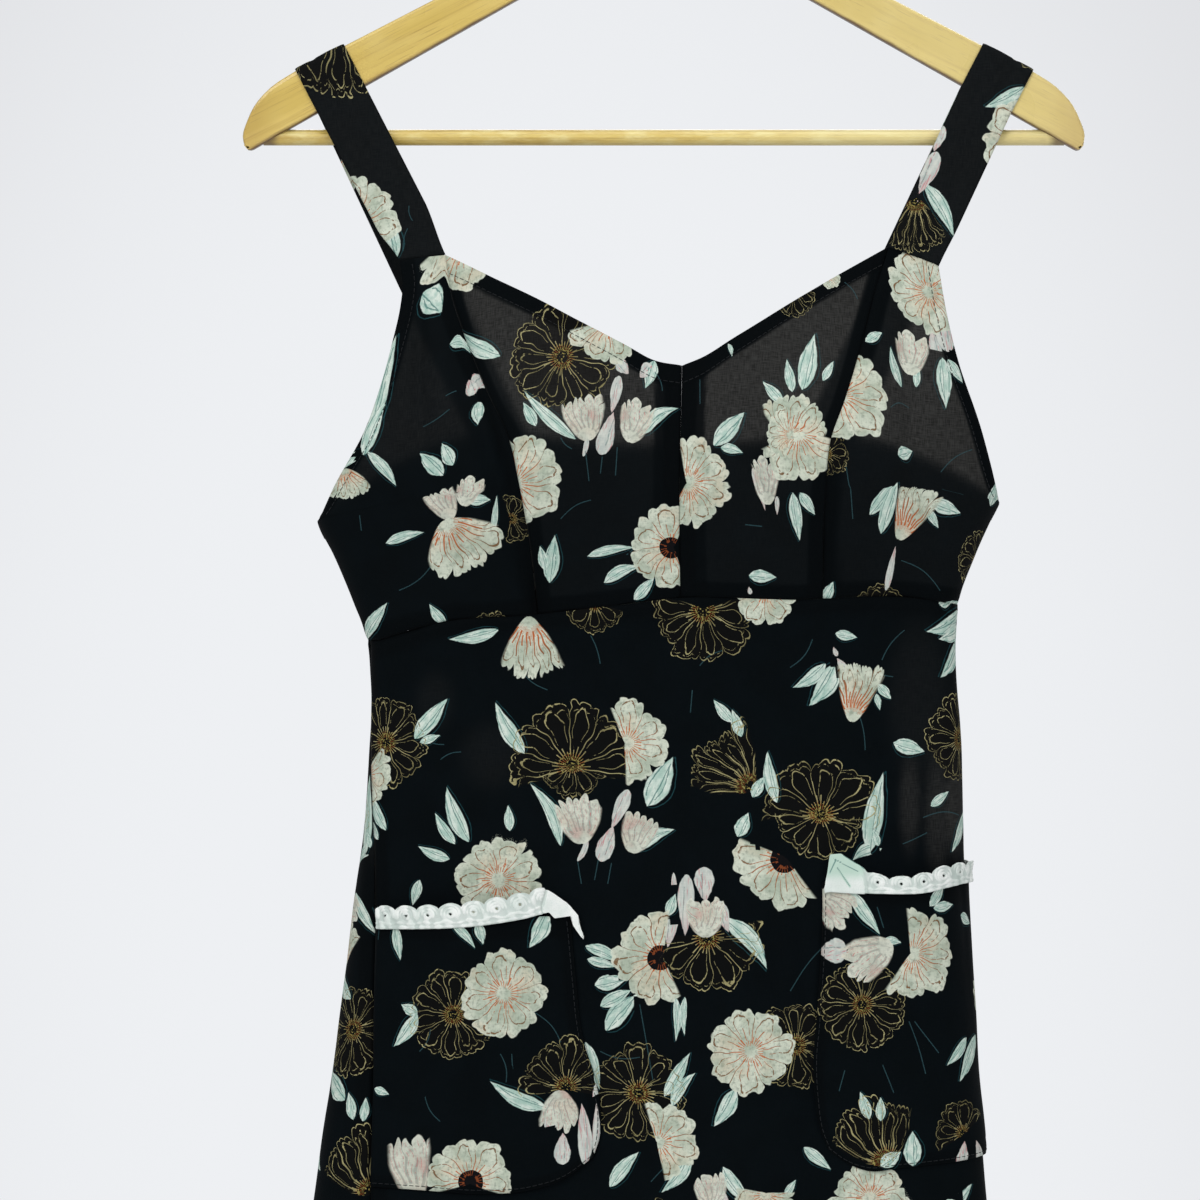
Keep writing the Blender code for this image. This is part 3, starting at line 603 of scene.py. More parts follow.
def puckers(along, off_seam, seed, depth=0.9, reach=24.0):
    """Short gathers that run off a seam, unevenly spaced, and fade out within reach of it."""
    chance = np.random.default_rng(seed)
    spot, total = along.min() + 5.0, np.zeros(along.shape)
    while spot < along.max() - 4:
        wide, size, run = chance.uniform(1.8, 4.6), chance.uniform(0.3, 1.0), chance.uniform(0.5, 1.2)
        lean = chance.uniform(-0.2, 0.2)
        aside = along - spot - lean * off_seam
        total -= size * bell(aside / wide) * np.exp(-off_seam / (reach * run)) * (1 - bell(off_seam / 1.5))
        spot += chance.uniform(7, 24)
    return total * depth


def creases(table, across, height):
    """Troughs, and ridges where the depth is negative, pressed in along lines of the front."""
    out = np.zeros(np.broadcast(across, height).shape)
    for x0, z0, x1, z1, half_width, depth in table:
        run = np.hypot(x1 - x0, z1 - z0)
        ahead = ((across - x0) * (x1 - x0) + (height - z0) * (z1 - z0)) / run**2
        aside = ((across - x0) * (z1 - z0) - (height - z0) * (x1 - x0)) / run
        fade = np.sin(np.pi * np.clip((ahead + 0.12) / 1.24, 0, 1)) ** 0.7
        wander = 0.8 * np.sin(ahead * 7 + x0)
        out -= depth * fade * bell((aside + wander) / half_width)
    return out


def nearest_on_cloth(points, flat, spots):
    """Where these places of the front view, as across and height, fall on the flat cut."""
    in_view = points[..., 1] < 0
    seen = points[in_view][:, [0, 2]]
    cut = flat[in_view]
    found = []
    for spot in np.atleast_2d(spots):
        near = np.argmin(((seen - spot) ** 2).sum(axis=1))
        found.append(cut[near] + spot - seen[near])
    return np.array(found)


FLOWER_LAYERS = 3
LEAF_LAYERS = 2
BLEED = 1.4  # ink may reach this much past a motif's own size
STROKE_WIDTH = 0.27  # to each side of its middle
OFF_PRINT = 9.0  # a place this far out carries no ink


def grid_faces(rows, columns):
    """The four corners of each face of a grid of points, which are counted along its rows."""
    corner = np.arange(rows * columns).reshape(rows, columns)
    around = [corner[:-1, :-1], corner[:-1, 1:], corner[1:, 1:], corner[1:, :-1]]
    return np.stack(around, -1).reshape(-1, 4)


def carry(mesh, title, values, kind="FLOAT", on="POINT"):
    """Writes values onto the mesh's points or its faces' corners, for a material to read."""
    layer = mesh.attributes.new(title, kind, on)
    spread = np.asarray(values).astype(np.float32).ravel()
    layer.data.foreach_set("value" if kind == "FLOAT" else "vector", spread)


def placed(mesh, *materials):
    """An object of this mesh in the scene, smooth to the eye."""
    mesh.shade_smooth()
    for side in materials:
        mesh.materials.append(side)
    piece = bpy.data.objects.new(mesh.name, mesh)
    scene.collection.objects.link(piece)
    return piece


def thicken(piece, thickness):
    """Gives a sheet its thickness, half to each side. Its last material is on the side turned in."""
    wall = piece.modifiers.new("cloth", "SOLIDIFY")
    wall.thickness = thickness * METRES
    wall.offset = 0
    wall.material_offset = len(piece.data.materials) - 1


def lay_print(corners, flowers, leaves):
    """For each corner of each face, its place within the motif printed there and that motif's look."""
    middle = corners.mean(axis=1)
    found = {}
    for kind, rows, count in (("flower", flowers, FLOWER_LAYERS), ("leaf", leaves, LEAF_LAYERS)):
        place = np.full((count, *corners.shape[:2], 3), OFF_PRINT)
        look = np.zeros_like(place)
        taken = np.zeros((count, len(corners)), bool)
        for number, row in enumerate(rows):
            seed = number * 37 % 97
            if kind == "flower":
                x, z, radius, inks, way, share, petals = row
                turn = math.radians(way)
                ahead = np.array([math.cos(turn), math.sin(turn)]) / radius
                beside = np.array([-math.sin(turn), math.cos(turn)]) / radius
                start, says = np.array([x, z]), (inks, share, petals)
            else:
                x, z, x1, z1, inks, slender, bend = row
                start, run = np.array([x, z]), np.array([x1 - x, z1 - z])
                length = np.hypot(*run)
                slender = STROKE_WIDTH / length if inks == 2 else slender
                ahead = run / length**2
                beside = np.array([-run[1], run[0]]) / length**2 / slender
                says = (inks, bend / slender, length)
            local = np.stack([(middle - start) @ ahead, (middle - start) @ beside], -1)
            cell = 2.2 * np.hypot(*ahead)
            if kind == "flower":
                reach = np.hypot(*local.T)
                swing = np.abs(np.arctan2(local[:, 1], local[:, 0])) / (2 * np.pi)
                cupped = 1 + (share < 0.19) * 1.6 * np.clip(1 - reach, 0, 1)
                swept = (swing < share * cupped + 0.07) | (reach < 0.3 + cell)
                near = (reach < 1.08 + cell) & swept
            else:
                edge = BLEED + abs(bend / slender) + cell / slender
                near = (abs(local[:, 0] - 0.5) < 0.56 + cell) & (abs(local[:, 1]) < edge)
            if not near.any():
                continue
            clash = (taken & near).sum(axis=1)
            layer = int(np.argmin(clash))
            near &= ~taken[layer]
            spots = corners[near] - start
            place[layer, near, :, 0] = spots @ ahead
            place[layer, near, :, 1] = spots @ beside
            place[layer, near, :, 2] = seed
            look[layer, near] = says
            taken[layer] |= near
        for layer in range(count):
            found[f"{kind}_place_{layer}"] = place[layer]
            found[f"{kind}_look_{layer}"] = look[layer]
    return found


def cloth_piece(name, points, thickness, flat, flowers, leaves, masks, sides):
    """A shell of cloth on this grid of points, carrying its print and painted light where it is thin."""
    loops = grid_faces(*points.shape[:2])
    mesh = bpy.data.meshes.new(f"{name}_cloth")
    mesh.from_pydata((points.reshape(-1, 3) * METRES).tolist(), [], loops.tolist())
    for title, values in lay_print(flat.reshape(-1, 2)[loops], flowers, leaves).items():
        carry(mesh, title, values, "FLOAT_VECTOR", "CORNER")
    carry(mesh, "cloth_place", np.concatenate([flat, np.zeros_like(flat[..., :1])], -1), "FLOAT_VECTOR")
    for title, values in masks.items():
        carry(mesh, title, np.clip(values, 0, 1))
    piece = placed(mesh, *sides)
    thicken(piece, thickness)
    return piece


# How the flowers and leaves are drawn, each within its own size: a flower round its middle, a leaf from its
# base to its tip. Numbers that a motif carries are rounded, so that they stay the same all over it.

printed_flower, (place, look), give = effect(
    "printed flower",
    {"Place": "Vector", "Look": "Vector"},
    {"Colour": "Color", "Ink": "Float", "Shade": "Float"},
)
tree = printed_flower
x, y, seed = place.parts()
inks, share, petals = look.parts()
is_gold, is_dark, is_tulip = (inks > 0.5) * (inks < 1.5), (inks > 1.5) * (inks < 2.5), inks > 2.5
mark, count = seed.math("ROUND"), petals.math("ROUND") / (share * 2.0)
drawn = vector(tree, x, y, mark)
wobble = noise(tree, drawn, 2.4, 2.0)
shake = noise(tree, vector(tree, y, x, mark * 1.7), 2.1, 1.0)
fine = noise(tree, drawn, 12.0, 3.0, 0.6)
reach = add(tree, "VectorMath", vector(tree, x, y, 0.0), out=1, operation="LENGTH")
reach = reach * (wobble.rise(0.25, 0.75, 0.92, 1.08)) + (fine - 0.5) * 0.01
cup = (share < 0.19) * (1.0 - reach).math("MAXIMUM", 0.0) * (is_tulip * 1.1 + 0.5) + 1.0
turn = y.math("ARCTAN2", x) / math.tau / cup
step = (turn + (shake - 0.5) * 0.07) * count + mark * 0.37
petal = step.math("FLOOR").math("FLOORED_MODULO", count).math("ROUND")
within = step.math("FRACT") - 0.5
aside = abs(within) * 2.0
chance = add(tree, "TexWhiteNoise", vector(tree, petal, mark, 0.0))
scallops = abs((within * (3 * math.pi)).math("COSINE")) ** 0.7
rim = chance * 0.1 + 0.83 - (aside ** (5.0 - is_tulip * 3.0)) * (is_tulip * 0.03 + 0.1)
rim = rim + scallops * (1.0 - is_tulip) * 0.05
swept = share + 0.008 / reach.math("MAXIMUM", 0.03) - abs(turn)
whole = share > 0.49
inside = (rim - reach).rise(0.0, 0.02) * swept.rise(0.0, 0.012).math("MAXIMUM", whole)
# How far from the petal's edge and how far along it a place lies, for the lines drawn on it.
gap = (1.0 - aside) * reach * math.pi / count
along = (reach - 0.24) / (rim - 0.24)
broken = fine.rise(0.38, 0.46)
split = (gap < 0.0085) * (reach > 0.2) * (reach < chance * 0.4 + 0.52)
leaning = abs(within - (chance - 0.5) * 0.14) * 2.0
crown = (along - 0.3).math("MAXIMUM", 0.0) / (chance * 0.14 + 0.46)
fold = (leaning / 0.6) ** 2.4 + crown**2.4
loop = (abs(fold - 1.0) < 0.11) * (along > chance * 0.3) * broken
rib = (leaning * reach * math.pi / count < 0.008) * (along > 0.04) * (along < 0.22 + chance * 0.36)
lines = split.math("MAXIMUM", loop).math("MAXIMUM", rib)
dash = (turn * count * 4.0).math("FLOOR")
uneven = add(tree, "TexWhiteNoise", vector(tree, dash, mark, 3.0))
dashes = (reach > 0.12 + uneven * 0.06) * (reach < 0.22 + uneven * 0.14)
dashes = ((turn * count * 4.0).math("FRACT") < 0.3) * dashes

paper = painted(
    tree,
    shade(218, 224, 206),
    (wobble.rise(0.35, 0.7), 182, 194, 175),
    (shake.rise(0.48, 0.72) * 0.5, 216, 202, 176),
    (fine.rise(0.46, 0.7) * 0.7, 142, 153, 135),
    ((rim - reach).rise(0.0, 0.06, 0.5, 0.0), 224, 230, 214),
)
brown = mixed(tree, reach.rise(0.3, 0.75), shade(190, 100, 46), shade(124, 92, 60))
white = mixed(tree, lines * 0.95, paper, brown)
white = mixed(tree, dashes * 0.95, white, shade(198, 104, 44))
heart = (reach < 0.2 + shake * 0.1) * is_dark
fringe = (uneven < 0.62) * dashes.math("MAXIMUM", (reach < 0.17) * (reach > 0.09) * (fine > 0.5))
dark = mixed(tree, fringe * (reach > 0.12) * 0.7, shade(17, 16, 18), shade(150, 78, 42))
white = mixed(tree, heart, white, dark)
nerves = (abs((step * (2.5 * math.pi)).math("SINE")) < 0.16) * (reach > 0.22) * (reach < 0.8) * (fine > 0.49)
blush = wobble.rise(0.55, 0.72) * reach.rise(0.9, 0.5) * 0.35
tulip = painted(
    tree,
    paper,
    (0.25, 222, 214, 208),
    (blush, 214, 150, 146),
    ((split + loop * 0.7) * 0.45, 120, 124, 118),
    (nerves * 0.8, 204, 104, 108),
)
white = mixed(tree, is_tulip, white, tulip)

outline = (abs(rim - reach) < 0.009) * fine.rise(0.38, 0.44)
second = (abs(rim - reach - 0.06 - chance * 0.04) < 0.006) * fine.rise(0.48, 0.54)
speckle = noise(tree, drawn, 26.0, 1.0)
stamens = ((turn * count * 3.0).math("FRACT") < 0.26) * (reach > 0.1) * (reach < 0.2 + uneven * 0.16)
specks = (reach < 0.2) * (speckle > 0.6)
hairline = loop * (abs(fold - 1.0) < 0.085)
gold_ink = (split * (gap < 0.0065)).math("MAXIMUM", hairline).math("MAXIMUM", outline).math("MAXIMUM", second)
gold_ink = gold_ink.math("MAXIMUM", stamens).math("MAXIMUM", specks) * (reach < rim + 0.02)
gold_ink = gold_ink * swept.rise(0.0, 0.012).math("MAXIMUM", whole)
gold = mixed(tree, wobble.rise(0.35, 0.65), shade(172, 164, 118), shade(126, 119, 82))
ember = mixed(tree, speckle.rise(0.44, 0.52), shade(150, 84, 42), shade(150, 138, 78))
gold = mixed(tree, reach.rise(0.16, 0.28, 1.0, 0.0), gold, ember)
ink = inside * (1.0 - is_gold) + gold_ink * is_gold
give(mixed(tree, is_gold, white, gold), ink, inside * is_gold)

printed_leaf, (place, look), give = effect(
    "printed leaf", {"Place": "Vector", "Look": "Vector"}, {"Colour": "Color", "Ink": "Float"}
)
tree = printed_leaf
along, y, seed = place.parts()
inks, bend, length = look.parts()
mark = seed.math("ROUND")
along_in = along.math("MAXIMUM", 0.0).math("MINIMUM", 1.0)
edge = noise(tree, vector(tree, along * 2.0, y, mark), 2.2, 2.0)
aside = y - (along_in * math.pi).math("SINE") * bend + (edge - 0.5) * 0.3
fine = noise(tree, vector(tree, along * 3.0, y, mark), 4.0, 3.0, 0.6)
is_leaf, is_petal, is_stroke = inks < 0.5, (inks > 0.5) * (inks < 1.5), inks > 1.5
swell = ((along_in**0.75) * math.pi).math("SINE")
rounded = ((along_in**1.6) * math.pi).math("SINE") ** 0.5
wide = swell * (1.0 - is_petal) + rounded * is_petal
away = abs(aside)
ends = (along > 0.0) * (along < 1.0)
fill = (wide - away).rise(0.0, 0.1) * ends
midrib = (abs(aside + 0.12) < 0.05) * (along < 0.86)
inner = (abs(abs(aside - 0.1) - wide * 0.56) < 0.05) * (along > 0.16) * (along < 0.84) * (fine > 0.4)
offset = (abs(abs(aside + 0.2) - wide * 1.1) < 0.05) * ends * (fine > 0.36)
mint = painted(
    tree,
    shade(224, 235, 224),
    (edge.rise(0.3, 0.7), 176, 206, 193),
    (fine.rise(0.5, 0.75) * 0.5, 140, 172, 162),
    (midrib.math("MAXIMUM", inner) * 0.75, 70, 122, 116),
)
streak = noise(tree, vector(tree, along * 1.2, aside * 3.0, mark), 2.6, 1.0)
crease = (abs(aside - 0.25) < 0.05) * (along > 0.15) * (along < 0.8) * (fine > 0.42)
bud = painted(
    tree,
    shade(216, 219, 210),
    (edge.rise(0.3, 0.7), 192, 200, 194),
    (streak.rise(0.6, 0.66) * 0.8, 204, 132, 136),
    (along.rise(0.0, 0.5, 0.35, 0.0), 206, 150, 150),
    (crease * 0.6, 96, 128, 124),
)
dash = (away < 1.0) * ends * (fine > 0.4)
colour = mixed(tree, is_petal, mint, bud)
colour = mixed(tree, fill, shade(40, 84, 90), colour)
colour = mixed(tree, is_stroke, colour, shade(52, 84, 90))
ink = fill.math("MAXIMUM", offset * is_leaf * 0.5)
give(colour, ink * (1.0 - is_stroke) + dash * is_stroke * 0.65)

woven_cotton, (place,), give = effect(
    "woven cotton", {"Place": "Vector"}, {"Slubs": "Float", "Height": "Float"}
)
tree = woven_cotton
u, v, _ = place.parts()
warp = noise(tree, vector(tree, u * 2.6, v * 0.16, 0.0), 1.0, 2.0)
weft = noise(tree, vector(tree, u * 0.16, v * 2.6, 4.0), 1.0, 2.0)
THREAD = 0.55  # from one thread of the weave to the next but one
crossing = (u * (math.tau / THREAD)).math("SINE") * (v * (math.tau / THREAD)).math("SINE")
crumple = noise(tree, vector(tree, u * 0.35, v * 0.35, 9.0), 1.0, 3.0)
give(warp * 0.5 + weft * 0.5, crossing * 0.12 + warp * 0.3 + weft * 0.3 + crumple * 0.6)


def value_of(tree, title):
    return add(tree, "Attribute", out=2, attribute_name=title)


def place_of(tree, title):
    return add(tree, "Attribute", out=1, attribute_name=title)


def printed_cotton(name, strength, ground, painted_light, doubled):
    """The cotton with its print, at this strength, in the colours of single cloth, of painted light through
    thin cloth and of painted shade over doubled cloth.
    """
    made, tree, inputs = material(name, Sheen_Weight=0.015, Sheen_Roughness=0.45, Specular_IOR_Level=0.05)
    place = place_of(tree, "cloth_place")
    slubs, height = use(tree, woven_cotton, Place=place)
    patches = noise(tree, place, 0.045, 3.0)
    colour = mixed(tree, patches.rise(0.3, 0.7), shade(*ground), shade(*(c * 1.25 for c in ground)))
    # Painted light: where light comes through thin cloth its colour is lighter, thread by thread.
    darker, lighter = (shade(*(c * share for c in painted_light)) for share in (0.7, 1.3))
    thread_by_thread = mixed(tree, slubs.rise(0.36, 0.64), darker, lighter)
    colour = mixed(tree, value_of(tree, "painted_light"), colour, thread_by_thread)
    # Painted shade: doubled cloth is darker, since less light comes through it.
    colour = mixed(tree, value_of(tree, "doubled"), colour, shade(*doubled))
    wear_and_edge_shade = slubs.rise(0.36, 0.64, 0.88, 1.0) * strength
    motifs = []
    kinds = (("leaf", printed_leaf, LEAF_LAYERS), ("flower", printed_flower, FLOWER_LAYERS))
    for kind, group, count in kinds:
        for layer in range(count):
            where, look = (place_of(tree, f"{kind}_{what}_{layer}") for what in ("place", "look"))
            motifs.append(use(tree, group, Place=where, Look=look))
    # Inside its gold lines a flower is printed a deep brown, which only shows where the cloth is thin.
    for _, _, brown in motifs[LEAF_LAYERS:]:
        colour = mixed(tree, brown * wear_and_edge_shade * 0.7, colour, shade(15, 14, 12))
    for ink_colour, ink, *_ in motifs:
        colour = mixed(tree, ink * wear_and_edge_shade, colour, ink_colour)
    finish(tree, inputs, colour, slubs.rise(0.3, 0.7, 0.72, 0.86), height, 0.35, 0.00022)
    return made


right_side = printed_cotton("printed cotton", 1.0, (3, 8, 11), (44, 44, 43), (2, 5, 7))
wrong_side = printed_cotton("printed cotton wrong side", 0.22, (30, 30, 31), (56, 54, 52), (26, 25, 25))


# The print repeats down and across the cloth. What shows of it is laid out below, place by place as
# seen from the front; the rest of the dress carries the same flowers, moved on by a repeat.
WHITE, GOLD, DARK_HEART, TULIP = 0, 1, 2, 3
LEAF, PETAL, STROKE = 0, 1, 2
FLOWERS = {
    # across, height, radius, look, way it opens, share of the round, petals
    "skirt_front": (
        (-49, -537, 36.2, GOLD, 94, 0.29, 6), (-49, -536, 19.2, GOLD, -90, 0.2, 3),
        (-20, -524, 24.5, WHITE, 12, 0.28, 4), (-88, -597, 25.6, WHITE, 90, 0.5, 7),
        (-72, -458, 34.1, WHITE, -86, 0.085, 4), (-37, -450, 18.1, GOLD, -95, 0.22, 3),
        (100, -512, 34.1, WHITE, 80, 0.06, 4), (21, -454, 29.8, GOLD, -90, 0.3, 6),
        (54, -444, 18.1, WHITE, -95, 0.27, 3), (46, -548, 37.3, GOLD, 136, 0.105, 5),
        (83, -563, 34.1, GOLD, 86, 0.27, 5), (83, -562, 24.5, GOLD, -92, 0.24, 4),
        (64, -586, 29.3, DARK_HEART, -128, 0.21, 3), (23, -627, 30.4, GOLD, -82, 0.27, 5),
        (-2, -638, 26.7, DARK_HEART, 188, 0.3, 4), (70, -685, 24.5, GOLD, 0, 0.5, 10),
        (46, -688, 24.0, WHITE, 90, 0.5, 7), (-14, -710, 27.7, GOLD, 90, 0.5, 10),
        (-3, -736, 22.4, WHITE, 15, 0.26, 3), (-148, -524, 25.6, GOLD, 90, 0.5, 10),
        (-159, -541, 19.2, WHITE, -60, 0.3, 4), (158, -522, 25.1, GOLD, 90, 0.5, 10),
        (109, -766, 22.4, WHITE, 90, 0.5, 7), (184, -653, 24.0, WHITE, 0, 0.5, 7),
        (-44, -576, 27.7, TULIP, 96, 0.065, 5), (-17, -581, 24.5, TULIP, 72, 0.06, 4),
        (22, -626, 22.4, TULIP, 90, 0.07, 4), (25, -771, 21.3, TULIP, 92, 0.06, 4),
    ),
    "skirt_back": (
        (-170, -643, 23.5, WHITE, 150, 0.3, 4), (-166, -677, 25.6, GOLD, -90, 0.5, 10),
        (-156, -763, 36.2, GOLD, 112, 0.12, 5),
    ),
    "pocket_left": (
        (-112, -668, 25.1, GOLD, 210, 0.5, 10), (-85, -657, 25.6, WHITE, 90, 0.5, 7),
        (-52, -707, 27.7, GOLD, 90, 0.28, 6), (-103, -757, 25.6, DARK_HEART, 88, 0.3, 4),
        (-55, -710, 23.5, TULIP, -92, 0.07, 4), (-133, -766, 39.4, TULIP, 96, 0.038, 3),
    ),
    "pocket_right": (
        (105, -663, 25.1, GOLD, -80, 0.5, 10), (132, -636, 27.2, WHITE, -15, 0.31, 5),
        (118, -747, 36.2, GOLD, 112, 0.12, 5), (159, -732, 19.2, GOLD, 120, 0.25, 4),
        (184, -661, 24.5, WHITE, 90, 0.5, 7), (84, -604, 24.5, TULIP, -42, 0.065, 4),
        (119, -631, 28.8, TULIP, 212, 0.06, 4),
    ),
    "bodice_centre_left": (
        (-54, -319, 32.5, GOLD, 90, 0.5, 10), (-108, -261, 26.1, WHITE, -64, 0.3, 3),
        (-28, -300, 26.7, WHITE, -78, 0.26, 4), (-79, -386, 28.8, WHITE, 0, 0.5, 7),
        (4, -420, 24.5, DARK_HEART, 176, 0.31, 4), (-41, -362, 27.7, TULIP, 96, 0.065, 5),
        (-18, -363, 24.5, TULIP, 72, 0.06, 4),
    ),
    "bodice_centre_right": (
        (13, -386, 26.7, WHITE, -5, 0.31, 5), (66, -361, 25.6, WHITE, 72, 0.17, 4),
        (71, -360, 28.8, WHITE, -82, 0.2, 3), (67, -361, 16.0, WHITE, 180, 0.2, 3),
        (68, -284, 14.9, GOLD, -90, 0.28, 4), (88, -276, 7.5, WHITE, -90, 0.5, 5),
        (55, -396, 26.7, TULIP, 92, 0.04, 3),
    ),
    "bodice_side_left": (
        (-108, -261, 26.1, WHITE, -64, 0.3, 3), (-116, -407, 34.1, WHITE, -58, 0.13, 4),
        (-170, -379, 21.3, WHITE, -85, 0.14, 4), (-81, -405, 13.9, GOLD, 0, 0.3, 4),
        (-114, -404, 24.5, TULIP, 112, 0.055, 4), (-106, -397, 20.3, TULIP, 76, 0.055, 3),
        (-91, -469, 16.0, GOLD, 90, 0.2, 3),
    ),
    "bodice_side_right": (
        (93, -340, 29.3, WHITE, -8, 0.3, 4), (141, -284, 24.5, WHITE, 200, 0.5, 7),
        (125, -415, 35.7, WHITE, 66, 0.06, 4), (166, -427, 18.1, GOLD, 120, 0.3, 5),
        (86, -371, 12.8, GOLD, -30, 0.3, 4), (114, -456, 18.1, GOLD, 90, 0.25, 4),
        (131, -327, 24.5, TULIP, 88, 0.055, 3),
    ),
    "strap_left": (
        (-173, -141, 44.8, GOLD, -78, 0.17, 5), (-167, -247, 29.8, WHITE, 22, 0.27, 4),
    ),
    "strap_right": (
        (196, -205, 28.8, WHITE, 190, 0.27, 3), (134, -235, 30.9, GOLD, -88, 0.1, 5),
        (204, -142, 27.7, GOLD, 222, 0.2, 3),
    ),
}
